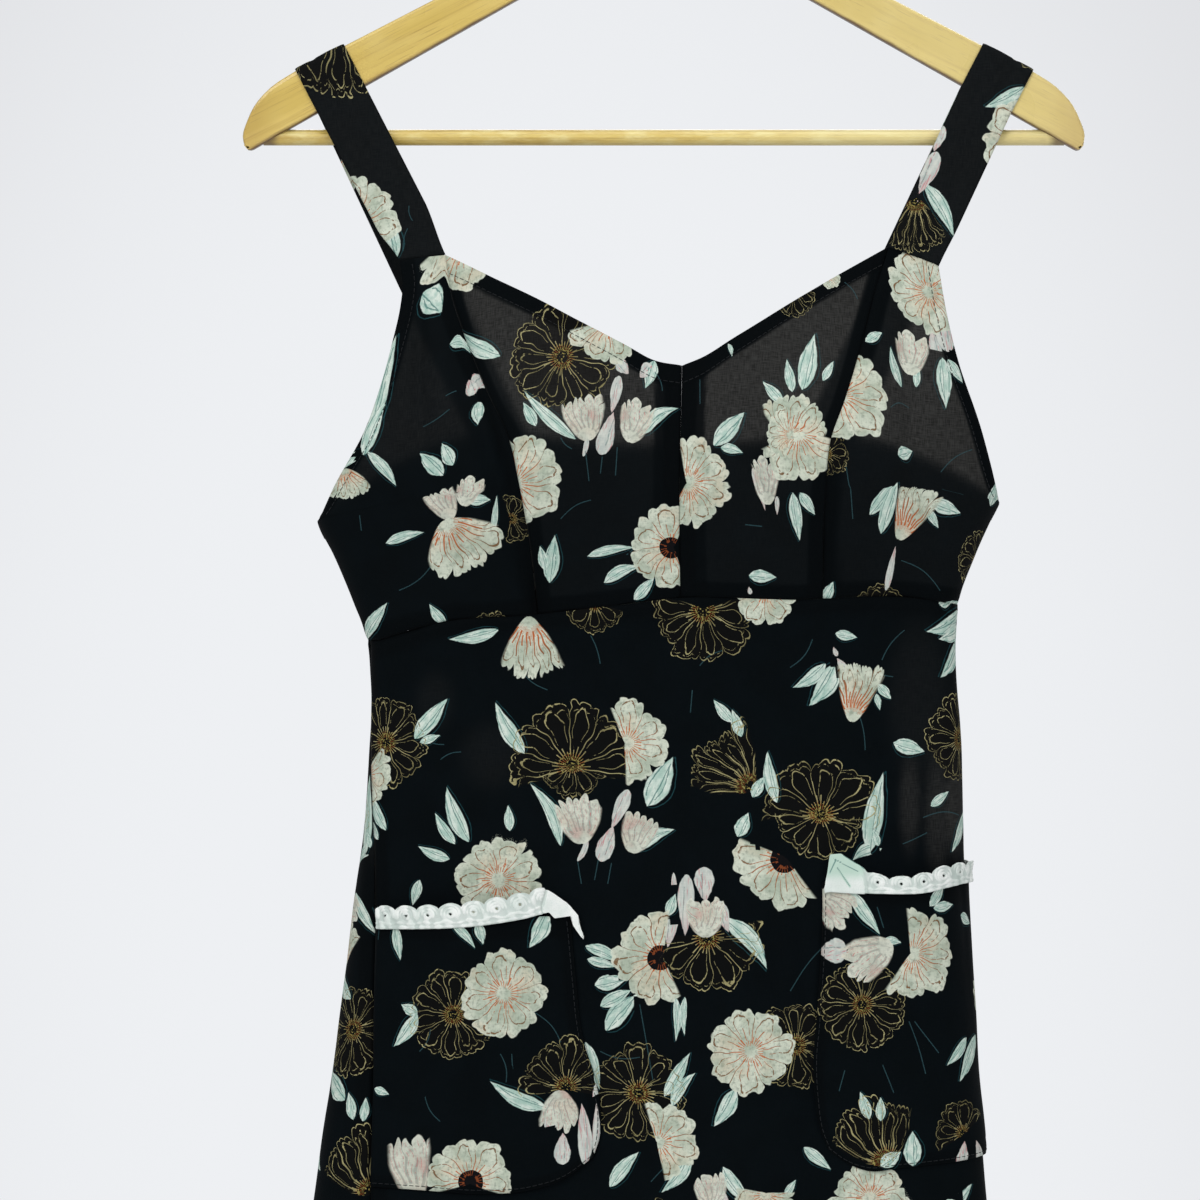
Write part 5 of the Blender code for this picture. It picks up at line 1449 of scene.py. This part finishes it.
SIDE_SEAMS, CENTRE_SEAMS = ("right", "bottom", "left"), ("left", "right", "bottom")
BODICE = {
    # its grid of angles and heights, its seams, its faced edges, and the cut's size and area in metres
    "bodice_side_left": (bodice_side("left", 44, 34, 66), SIDE_SEAMS, (), (0.12, 0.227), 0.016),
    "bodice_centre_left": (bodice_centre("left", 62, 100), CENTRE_SEAMS, ("top",), (0.128, 0.207), 0.0149),
    "bodice_centre_right": (bodice_centre("right", 62, 100), CENTRE_SEAMS, ("top",), (0.118, 0.2), 0.0133),
    "bodice_side_right": (bodice_side("right", 44, 30, 66), SIDE_SEAMS[::-1], (), (0.105, 0.203), 0.0139),
    "bodice_back": (bodice_back(168, 44), CENTRE_SEAMS, ("top",), (0.37, 0.109), 0.0319),
}
for name, (grid, seams, faced, cut, cut_area) in BODICE.items():
    points = inset(dress(*grid), SEAM_INSET, SEAM_INSET)
    flat = laid_flat(points)
    edges = dict(zip(("left", "right", "bottom", "top"), from_edges(points)))
    seed = BODICE_SEED + len(name)
    in_front = name != "bodice_back"
    relief = seam_dip(*(edges[edge] for edge in seams)) + slack(flat, seed, 0.4)
    relief += puckers(flat[..., 0], edges["bottom"], seed, 0.6, 14.0)
    doubled = sum(near_edge(edges[edge], BODICE_ALLOWANCE) for edge in seams)
    if in_front:
        relief += creases(BODICE_CREASES, points[..., 0], points[..., 2])
    for edge in faced:
        relief += 0.3 * near_edge(edges[edge], NECK_FACING) - 0.2 * bell((edges[edge] - NECK_FACING) / 0.8)
        doubled += near_edge(edges[edge], NECK_FACING)
    points = moved_out(points, relief)
    sewing[name] = [to_sew(points, edges[edge], NECK_FACING - SEWN_INSIDE, across=True) for edge in faced]
    if "side" in name:
        armhole = edges["left" if "left" in name else "right"]
        line, out = to_sew(points, armhole, ARMHOLE_FACING - SEWN_INSIDE)
        above = line[:, 2] > (LEFT_ARMHOLE if "left" in name else RIGHT_ARMHOLE)[0][0] + 2
        sewing[name] = [(line[above], out[above])]
    painted_light = np.zeros(points.shape[:2])
    if in_front:
        painted_light += SHEER[name] * (0.07 + 0.93 * seen_through(points))
        if "centre" in name:
            doubled += 0.8 * near_edge(edges["right" if "left" in name else "left"], CENTRE_ALLOWANCE)
        flowers, leaves = front_print(name, points, flat)
    else:
        flowers, leaves = whole_print(
            ["bodice_centre_left", "bodice_centre_right", "bodice_side_left", "bodice_side_right"],
            [(0, -40), (-REPEAT_ACROSS, -30), (REPEAT_ACROSS, -50)],
        )
    masks = {"painted_light": (painted_light * (1 - np.clip(doubled, 0, 1))).ravel(), "doubled": doubled.ravel() * 0.8}
    panel = cloth_piece(name, points, CLOTH, flat, flowers, leaves, masks, (right_side, wrong_side))
    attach(panel, "root")
    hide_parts(name)

# ---- Straps ------------------------------------------------------------------------------------------
# Each strap is a folded band of the same cotton, sewn to the top of the front and, longer, to the back. It
# hangs over the sloping arm, with a faint crease along it where it was folded and pressed.

ARM_THICKNESS = 12.0
ARM_EDGE_ROUNDING = 1.6
STRAP_CLOTH = 1.1  # a strap is folded double
STRAPS = {
    # how far out on the arm's upper edge its middle rests, its width there, and the corners of its seams to
    # the front and the back, outer then inner, as (across, height)
    "left": dict(
        rest=183.6,
        width=29.5,
        front=((-141.2, -266.9), (-116.2, -264.2)),
        back=((-101.0, -363.5), (-73.0, -363.0)),
    ),
    "right": dict(
        rest=183.6,
        width=30.5,
        front=((146.6, -269.8), (119.2, -260.0)),
        back=((101.0, -363.0), (73.0, -363.0)),
    ),
}
STRAP_REST_GAP = 0.35
STRAP_SPREAD = 26.0  # length over which a strap turns from its seam to its full width
STRAP_LIE = (26.0, 13.0)  # how far below the arm's edge it has its points where it lies on the wood's face


def facing_out(side, values):
    """Right-hand pieces are counted from the other edge, so their columns are turned round."""
    return values[:, ::-1] if side == "right" else values


def strap_profile():
    """Middle of a strap over the arm, as (y, height over the arm's edge), from front to back."""
    gap = STRAP_CLOTH / 2 + STRAP_REST_GAP
    face = ARM_THICKNESS / 2 + gap
    bend = ARM_EDGE_ROUNDING + gap
    centre = ARM_THICKNESS / 2 - ARM_EDGE_ROUNDING
    quarter = np.radians(np.linspace(0, 90, 4))
    front_bend = [(-centre - bend * math.cos(a), -ARM_EDGE_ROUNDING + bend * math.sin(a)) for a in quarter]
    front = [(-face, -drop) for drop in STRAP_LIE] + front_bend
    return np.array(front + [(-y, rise) for y, rise in reversed(front)])


def strap_points(side, columns, run_steps, back_steps):
    """One strip from the front's top corner over the hanger's arm to the top of the back."""
    strap = STRAPS[side]
    outward = -1 if side == "left" else 1
    (inner, high), (outer, low) = ARM_EDGE
    slope = math.atan2(high - low, outer - inner)
    along_arm = np.array([-outward * math.cos(slope), 0, math.sin(slope)])
    off_arm = np.array([outward * math.sin(slope), 0, math.cos(slope)])
    rest = np.array([outward * strap["rest"], 0, high - (strap["rest"] - inner) * math.tan(slope)])
    over = [rest + off_arm * rise + np.array([0, y, 0]) for y, rise in strap_profile()]
    full = along_arm * strap["width"] / 2
    ends = []
    for corners, behind in ((strap["front"], False), (strap["back"], True)):
        spots = []
        for across, height in corners:
            angle = front_angle(across, height)
            spots.append(dress(180 - angle if behind else angle, height))
        ends.append(spots)
    stations = []
    for spots, contact, steps in ((ends[0], over[0], run_steps), (ends[1], over[-1], back_steps)):
        seam_middle = (spots[0] + spots[1]) / 2
        seam_half = (spots[1] - spots[0]) / 2
        span = np.linalg.norm(contact - seam_middle)
        run = []
        for share in np.linspace(0, 1, steps, endpoint=False):
            turn = min(1, share * span / STRAP_SPREAD)
            turn = turn * turn * (3 - 2 * turn)
            place = seam_middle + (contact - seam_middle) * share
            run.append((place, seam_half * (1 - turn) + full * turn))
        stations.append(run)
    line = stations[0] + [(place, full) for place in over] + stations[1][::-1]
    across = np.linspace(-1, 1, columns + 1)
    return np.array([[place + half * share for share in across] for place, half in line])


STRAP_COLUMNS, STRAP_FRONT_ROWS, STRAP_BACK_ROWS = 18, 60, 104
ROWS_ON_ARM = 6  # rows more that belong to the print's front, up to the top of the arm
STRAP_SEED = 50
STRAP_SEWN = 2.2  # from its edges to the stitches
STRAP_CUTS = {"strap_left": (0.0295, 0.355), "strap_right": (0.0305, 0.355)}
for name, cut in STRAP_CUTS.items():
    side = name.removeprefix("strap_")
    points = facing_out(side, strap_points(side, STRAP_COLUMNS, STRAP_FRONT_ROWS, STRAP_BACK_ROWS))
    points = inset(points, 0.2, 0.3)
    flat = laid_flat(points)
    left, right, bottom, top = from_edges(points)
    width = left + right
    pressed = left / width if side == "left" else right / width
    relief = -0.5 * bell((pressed - 0.36) * width / 1.5) + 0.25 * bell((pressed - 0.7) * width / 5)
    relief += seam_dip(bottom, top) * 0.6 + slack(flat, STRAP_SEED + len(name), 0.15)
    relief -= 0.3 * (bell(left / 0.9) + bell(right / 0.9))
    points = moved_out(points, relief)
    sewing[name] = [to_sew(points, edge, STRAP_SEWN) for edge in (left, right)]
    shown = slice(STRAP_FRONT_ROWS + ROWS_ON_ARM)
    flowers, leaves = front_print(name, points[shown], flat[shown], [(0, 0), (0, 150), (4, 292)])
    # The straps are painted a little lighter all over, as painted light.
    masks = {"painted_light": np.full(relief.size, 0.2), "doubled": np.zeros(relief.size)}
    strap = cloth_piece(name, points, STRAP_CLOTH, flat, flowers, leaves, masks, (right_side, right_side))
    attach(strap, "root")
    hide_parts(name)

# ---- Pockets -----------------------------------------------------------------------------------------
# A patch of the printed cotton on each side of the skirt, caught in the side seam, sewn down along its free
# edge and foot, and open at the top, where it gapes a little.

POCKET_LIFT = 2.2  # from the middle of the skirt's cloth to the middle of the pocket's, where it is sewn
MOUTH_GAPE = 12.0  # how far the pocket's mouth stands off the skirt
GAPE_GROWTH = 1.5  # above 1, the pocket stays close to the skirt low down and stands off near its mouth

# Free edge of each pocket, across from the side seam: height, distance from the seam along the cloth
LEFT_POCKET_EDGE = (
    (-744, 118), (-735, 121), (-726, 122), (-701, 118), (-682, 112), (-650, 107.5), (-616, 104),
)
RIGHT_POCKET_EDGE = (
    (-740, 118.5), (-729.5, 121.5), (-712, 122), (-691.7, 120.4), (-671.4, 116.3), (-640, 111.5),
    (-598, 106.5),
)
# Foot of each pocket: distance from the seam, height
LEFT_POCKET_FOOT = (
    (0, -760), (25, -761.5), (60, -763.5), (85, -761.5), (104, -755), (118, -744),
)
RIGHT_POCKET_FOOT = (
    (0, -741), (30, -744.5), (60, -748), (81.5, -750), (100.4, -751.2), (111.9, -746), (118.5, -740),
)

POCKETS = {
    # its edge and foot, the height of its mouth, and where it starts to stand off the skirt
    "left": dict(free_edge=LEFT_POCKET_EDGE, foot=LEFT_POCKET_FOOT, mouth=-616.0, snug=0.0),
    "right": dict(free_edge=RIGHT_POCKET_EDGE, foot=RIGHT_POCKET_FOOT, mouth=-598.0, snug=30.0),
}


def seam_lengths(side):
    """How the length along the skirt from a side seam grows with the angle, at each of many levels."""
    levels = np.linspace(-780, -575, 70)
    rows = []
    for level in levels:
        first, last = left_seam(level), right_seam(level)
        if side == "right":
            first, last = last, first
        angle = np.linspace(first, last, 361)
        steps = np.linalg.norm(np.diff(dress(angle, level), axis=0), axis=1)
        rows.append((angle, np.concatenate([[0], np.cumsum(steps)])))
    return levels, rows


SEAM_LENGTHS = {side: seam_lengths(side) for side in ("left", "right")}


def on_skirt(side, distances, heights, lifts):
    """Points over the skirt at these distances from the side seam."""
    levels, rows = SEAM_LENGTHS[side]
    angles = []
    for distance, height in zip(distances.ravel(), heights.ravel()):
        share = np.clip((height - levels[0]) / (levels[1] - levels[0]), 0, len(levels) - 1.001)
        low = int(share)
        below, above = (np.interp(distance, rows[at][1], rows[at][0]) for at in (low, low + 1))
        angles.append(below + (above - below) * (share - low))
    return dress(np.array(angles).reshape(distances.shape), heights, lifts)


def pocket_lift(side, distance, height):
    """How far the pocket stands off the skirt: sewn down at its edges, and gaping towards the mouth."""
    pocket = POCKETS[side]
    width, snug = column(pocket["free_edge"], height), pocket["snug"]
    open_share = np.sin(np.pi * np.clip((distance - snug) / (width - snug), 0, 1))
    bottom = min(height_at for _, height_at in pocket["foot"])
    rise = np.clip((height - bottom) / (pocket["mouth"] - bottom), 0, 1)
    return POCKET_LIFT + MOUTH_GAPE * open_share * rise**GAPE_GROWTH


def pocket_points(side, columns, rows):
    pocket = POCKETS[side]
    free_edge, foot = pocket["free_edge"], pocket["foot"]
    seam_low, seam_high = foot[0][1], pocket["mouth"]
    free_height = np.linspace(free_edge[0][0], free_edge[-1][0], rows + 1)
    foot_distance = np.linspace(0, foot[-1][0], columns + 1)
    mouth_distance = np.linspace(0, free_edge[-1][1], columns + 1)
    seam = np.stack([np.zeros(rows + 1), np.linspace(seam_low, seam_high, rows + 1)], -1)
    free = np.stack([column(free_edge, free_height), free_height], -1)
    bottom = np.stack([foot_distance, column(foot, foot_distance)], -1)
    top = np.stack([mouth_distance, np.full(columns + 1, seam_high)], -1)
    distance, height = np.moveaxis(patch(seam, free, bottom, top), -1, 0)
    return facing_out(side, on_skirt(side, distance, height, pocket_lift(side, distance, height)))


POCKET_CREASES = (
    # across and height of one end and the other, half width, depth
    (-140, -625, -128, -700, 4.0, 0.8), (-100, -640, -96, -735, 5.0, 0.9), (-70, -640, -60, -720, 5.0, 0.7),
    (100, -610, 92, -690, 5.0, 0.9), (140, -620, 132, -720, 5.0, 0.8), (120, -690, 128, -735, 4.0, 0.6),
)
POCKET_COLUMNS, POCKET_ROWS = 62, 76
POCKET_EDGE_FOLD = 7.0  # the cloth turned under along its free edge and its foot
POCKET_MOUTH_FOLD = 12.0
POCKET_SEWN = 2.0  # from its edges to the stitches
POCKET_SEED = 60
POCKET_CUTS = {"pocket_left": ((0.1265, 0.148), 0.0167), "pocket_right": ((0.132, 0.155), 0.0186)}
for name, (cut, cut_area) in POCKET_CUTS.items():
    side = name.removeprefix("pocket_")
    points = inset(pocket_points(side, POCKET_COLUMNS, POCKET_ROWS), SEAM_INSET, SEAM_INSET)
    flat = laid_flat(points)
    left, right, bottom, top = from_edges(points)
    free = right if side == "left" else left
    relief = seam_dip(free, bottom) * 0.8 + slack(flat, POCKET_SEED + len(name), 0.35)
    relief += creases(POCKET_CREASES, points[..., 0], points[..., 2])
    relief -= 0.25 * bell((np.minimum(free, bottom) - POCKET_EDGE_FOLD) / 0.9)
    points = moved_out(points, relief)
    sewing[name] = [to_sew(points, free, POCKET_SEWN), to_sew(points, bottom, POCKET_SEWN, across=True)]
    doubled = near_edge(np.minimum(free, bottom), POCKET_EDGE_FOLD) + near_edge(top, POCKET_MOUTH_FOLD)
    flowers, leaves = front_print(name, points, flat)
    masks = {"painted_light": np.zeros(doubled.size), "doubled": 0.7 * doubled.ravel()}
    pocket = cloth_piece(name, points, CLOTH, flat, flowers, leaves, masks, (right_side, wrong_side))
    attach(pocket, "root")
    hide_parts(name)

# ---- Lace trim ---------------------------------------------------------------------------------------
# White cotton broderie sewn along each pocket's mouth: scallops, each with an eyelet punched in it and raised
# stitching round the eyelet and along the lower edge. At one end it is folded down and frayed.

TRIM_LIFT = 1.9  # from the middle of the pocket's cloth to the middle of the lace
LACE = 0.7  # its thickness
SCALLOP = 12.0  # length of one scallop of the trim
SCALLOP_DEPTH = 0.46  # share of the trim's half height that the notches go down
SCALLOP_ROUNDNESS = 0.55  # 1 makes each scallop a sine's arch, less makes it fuller
EYELET = 0.85  # radius of the hole
# The lace along each mouth: distance from the side seam, height of its middle, half its height; the inner end
# is folded down
TRIMS = {
    "left": (
        (1, -617.0, 6.2), (27, -616.4, 6.3), (54, -614.4, 6.8), (78, -610.6, 7.0), (93, -607.6, 7.0),
        (101, -609.6, 6.2), (106.5, -614.6, 4.4), (109.5, -621.0, 2.6), (111.5, -628.0, 1.2),
    ),
    "right": (
        (1, -592.5, 5.6), (25, -593.3, 5.6), (40, -594.8, 5.9), (56, -598.4, 5.2), (78, -598.7, 5.2),
        (89, -596.4, 7.4), (96, -594.6, 9.2), (101, -596.6, 7.0), (106, -601.8, 3.0),
    ),
}
PLAIN_FROM = {"left": 90.0, "right": 84.0}  # from here on, along the strip, the end is folded over
# The folded end: distance from the side seam, height of its upper edge and of its lower edge
FOLDED_END = {
    "left": (
        (88, -601.6, -614.9), (93.6, -602.1, -613.9), (96.4, -604.0, -617.1), (103.1, -609.1, -616.2),
        (104.8, -610.8, -616.0), (105.9, -612.2, -620.8), (108.7, -615.5, -625.0), (109.5, -620.3, -626.2),
        (111.5, -627.0, -628.2),
    ),
    "right": (
        (84, -591.0, -604.2), (95.3, -582.7, -603.8), (100.7, -583.2, -603.4), (103.1, -592.6, -603.2),
        (106, -601.8, -603.6),
    ),
}
# Veins of the leaf printed on the right one: distance and height at each end
FOLD_VEINS = ((99, -585.5, 88, -592), (94, -583.5, 84, -591), (102, -593, 98, -586.0), (98, -590, 93, -600))
EYELET_HEIGHT = 0.12  # above the middle of the trim, as a share of its half height
STITCHED_RISE = 0.4  # how far the embroidery stands up
TRIM_SEED = 70
TRIM_STEPS_EACH, TRIM_ROWS = 26, 28  # steps along each scallop, and rows up the lace


def trim_points(side, steps_each, rows):
    """The lace along a pocket's mouth, scalloped along the top, with each point's place on the strip."""
    line = np.array(TRIMS[side])
    start, end = line[0, 0], line[-1, 0]
    steps = int(round((end - start) / SCALLOP * steps_each))
    along = np.linspace(start, end, steps + 1)
    centre, half = np.moveaxis(smooth(line, along), -1, 0)
    folded = 1 / (1 + np.exp((PLAIN_FROM[side] - along + start) / 0.5))
    ends = np.array(FOLDED_END[side])
    upper, lower = (np.interp(along, ends[:, 0], ends[:, at]) for at in (1, 2))
    centre = centre * (1 - folded) + (upper + lower) / 2 * folded
    half = half * (1 - folded) + (upper - lower) / 2 * folded
    slope = np.gradient(centre, along) * (1 - folded)
    length = np.hypot(1, slope)
    arch = np.abs(np.sin(np.pi * (along - start) / SCALLOP)) ** SCALLOP_ROUNDNESS
    notch = 1 - SCALLOP_DEPTH * (1 - arch) * (1 - folded)
    up = np.linspace(-1, 1, rows + 1)[:, None]
    reach = half * up * np.where(up > 0, notch, 1)
    distance = along - slope / length * reach
    height = centre + reach / length
    lift = pocket_lift(side, distance, height) + TRIM_LIFT
    spots = np.stack(np.broadcast_arrays(along - start, reach, half, distance, height), -1)
    return on_skirt(side, distance, height, lift), spots


def lace_finish():
    made, tree, inputs = material("white broderie cotton", Sheen_Weight=0.15, Specular_IOR_Level=0.3)
    place = add(tree, "TexCoord", out=3)
    threads = noise(tree, place, 1500.0, 2.0)
    soiling = noise(tree, place, 70.0, 3.0)
    relief_shading, printed = value_of(tree, "relief_shading"), value_of(tree, "printed")
    colour = painted(
        tree,
        shade(250, 253, 249),
        (soiling.rise(0.35, 0.75), 228, 238, 231),
        (threads.rise(0.45, 0.75) * 0.25, 196, 210, 203),
        # Painted shade: the lace is greyer where its relief sinks between the raised embroidery.
        (relief_shading.rise(0.0, 0.8, 0.5, 0.0), 172, 190, 182),
        (printed.rise(0.1, 0.5), 196, 222, 207),
        (printed.rise(0.6, 0.9), 112, 152, 142),
    )
    finish(tree, inputs, colour, threads.rise(0.3, 0.7, 0.75, 0.9), threads, 0.4, 0.0002)
    return made


lace = lace_finish()
TRIM_CUTS = {"pocket_trim_left": (0.113, 0.014), "pocket_trim_right": (0.116, 0.014)}
for name, cut in TRIM_CUTS.items():
    side = name.removeprefix("pocket_trim_")
    points, spots = trim_points(side, TRIM_STEPS_EACH, TRIM_ROWS)
    ahead, reach, half, distance, height = np.moveaxis(spots, -1, 0)
    beside_eye = ahead - (np.floor(ahead / SCALLOP) + 0.5) * SCALLOP
    over_eye = reach - EYELET_HEIGHT * half
    away = np.hypot(beside_eye, over_eye)
    raised = bell((away - 1.6) / 0.5) * STITCHED_RISE
    above = np.clip((over_eye + 1.6) / 1.6, 0, 1)
    raised += above * (bell((away - 3.1) / 0.5) * STITCHED_RISE + bell((away - 4.8) / 0.5) * STITCHED_RISE)
    wave = -0.52 * half + 0.6 * np.sin(ahead * 2 * np.pi / SCALLOP)
    raised += bell((reach - wave) / 0.6) * STITCHED_RISE + bell((reach + 0.85 * half) / 0.5) * 0.3
    # The folded end shows its plain wrong side.
    plain = 1 / (1 + np.exp((PLAIN_FROM[side] - ahead) / 0.8))
    raised *= 1 - 0.9 * plain
    printed = np.zeros(plain.shape)
    if side == "right":
        printed = 0.5 * plain * np.clip((height + 600) / 8, 0, 1)
        for x0, z0, x1, z1 in FOLD_VEINS:
            run_x, run_z = x1 - x0, z1 - z0
            share = ((distance - x0) * run_x + (height - z0) * run_z) / (run_x**2 + run_z**2)
            share = np.clip(share, 0, 1)
            off = np.hypot(distance - x0 - share * run_x, height - z0 - share * run_z)
            printed = np.maximum(printed, bell(off / 0.55))
    ruffle = np.sin(ahead * 0.9 + 1.3 * np.sin(ahead * 0.23)) * np.sin(reach * 0.5 + ahead * 0.31)
    raised += 0.7 * ruffle * (0.35 + np.exp(-ahead / 16)) * (1 - plain)
    raised -= 0.9 * bell((ahead - PLAIN_FROM[side] - 0.25 * reach) / 0.9)
    raised += np.random.default_rng(TRIM_SEED + len(name)).normal(0, 0.03, raised.shape)
    # The relief's height, for the painted shade between the raised embroidery; the folded end gets none.
    relief_shading = (raised + STITCHED_RISE * plain) / STITCHED_RISE
    punched = away + 9 * plain  # no eyelet is open where the end is folded
    points, raised, punched, relief_shading, printed = (
        facing_out(side, values) for values in (points, raised, punched, relief_shading, printed)
    )
    points = moved_out(points, raised)
    loops = grid_faces(*raised.shape)
    loops = loops[punched.ravel()[loops].mean(axis=1) > EYELET]
    mesh = bpy.data.meshes.new(f"{name}_lace")
    mesh.from_pydata((points.reshape(-1, 3) * METRES).tolist(), [], loops.tolist())
    carry(mesh, "relief_shading", relief_shading)
    carry(mesh, "printed", printed)
    whole = bmesh.new()
    whole.from_mesh(mesh)
    bmesh.ops.delete(whole, geom=[v for v in whole.verts if not v.link_faces], context="VERTS")
    whole.to_mesh(mesh)
    whole.free()
    trim = placed(mesh, lace)
    thicken(trim, LACE)
    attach(trim, "root")
    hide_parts(name)

# ---- Sewing ------------------------------------------------------------------------------------------
# Black cotton thread, machine sewn in short stitches: along the facings, both edges of the straps, round the
# pockets and over the turned hem. Each stitch dips into the cloth at its ends.

STITCH = 2.5
STITCH_GAP = 0.8
THREAD_RADIUS = 0.2
STITCH_ALONG = (0, 0.22, 0.78, 1)  # where its rings of corners lie, as shares of its length
STITCH_HEIGHTS = (-0.9, 0.35, 0.35, -0.9)  # and how high over the cloth, as shares of the thread's radius
THREAD_SIDES = 5


def stitches(line, out):
    """Corners and faces of the short rounded threads along a line over the cloth."""
    run = np.concatenate([[0], np.cumsum(np.linalg.norm(np.diff(line, axis=0), axis=1))])
    starts = np.arange(1.0, run[-1] - STITCH, STITCH + STITCH_GAP)
    at = (starts[:, None] + STITCH * np.array(STITCH_ALONG)).ravel()
    place, way = (np.stack([np.interp(at, run, part) for part in values.T], -1) for values in (line, out))
    way /= np.linalg.norm(way, axis=-1, keepdims=True)
    ahead = np.repeat(place[3::4] - place[::4], 4, axis=0)
    ahead /= np.linalg.norm(ahead, axis=-1, keepdims=True)
    beside = np.cross(ahead, way)
    sunk = np.tile(STITCH_HEIGHTS, len(starts))[:, None] * THREAD_RADIUS
    turn = np.radians(np.arange(0, 360, 360 / THREAD_SIDES))[:, None, None]
    rings = place + way * sunk + THREAD_RADIUS * (np.cos(turn) * way + np.sin(turn) * beside)
    corners = rings.transpose(1, 0, 2).reshape(-1, 3)
    faces = []
    around = [(i, (i + 1) % THREAD_SIDES) for i in range(THREAD_SIDES)]
    last = (len(STITCH_ALONG) - 1) * THREAD_SIDES
    for first in range(0, len(corners), last + THREAD_SIDES):
        for ring in range(first, first + last, THREAD_SIDES):
            above = ring + THREAD_SIDES
            faces += [(ring + i, ring + j, above + j, above + i) for i, j in around]
        faces += [tuple(first + i for i, _ in around)[::-1], tuple(first + last + i for i, _ in around)]
    return corners, faces


def thread_finish():
    made, tree, inputs = material("black thread", Sheen_Weight=0.1, Specular_IOR_Level=0.2)
    place = add(tree, "TexCoord", out=3)
    twist = noise(tree, place, 2600.0, 1.0)
    colour = mixed(tree, twist.rise(0.35, 0.65), shade(7, 11, 14), shade(20, 24, 28))
    finish(tree, inputs, colour, twist.rise(0.3, 0.7, 0.6, 0.8), twist, 0.3, 0.0001)
    return made


thread = thread_finish()
for name, lines in sewing.items():
    corners, faces = [], []
    for line, out in lines:
        more, sides = stitches(line, out)
        faces += [tuple(corner + len(corners) for corner in side) for side in sides]
        corners += more.tolist()
    mesh = bpy.data.meshes.new(f"{name}_stitches")
    mesh.from_pydata((np.array(corners) * METRES).tolist(), [], faces)
    sewn = placed(mesh, thread)
    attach(sewn, "root")
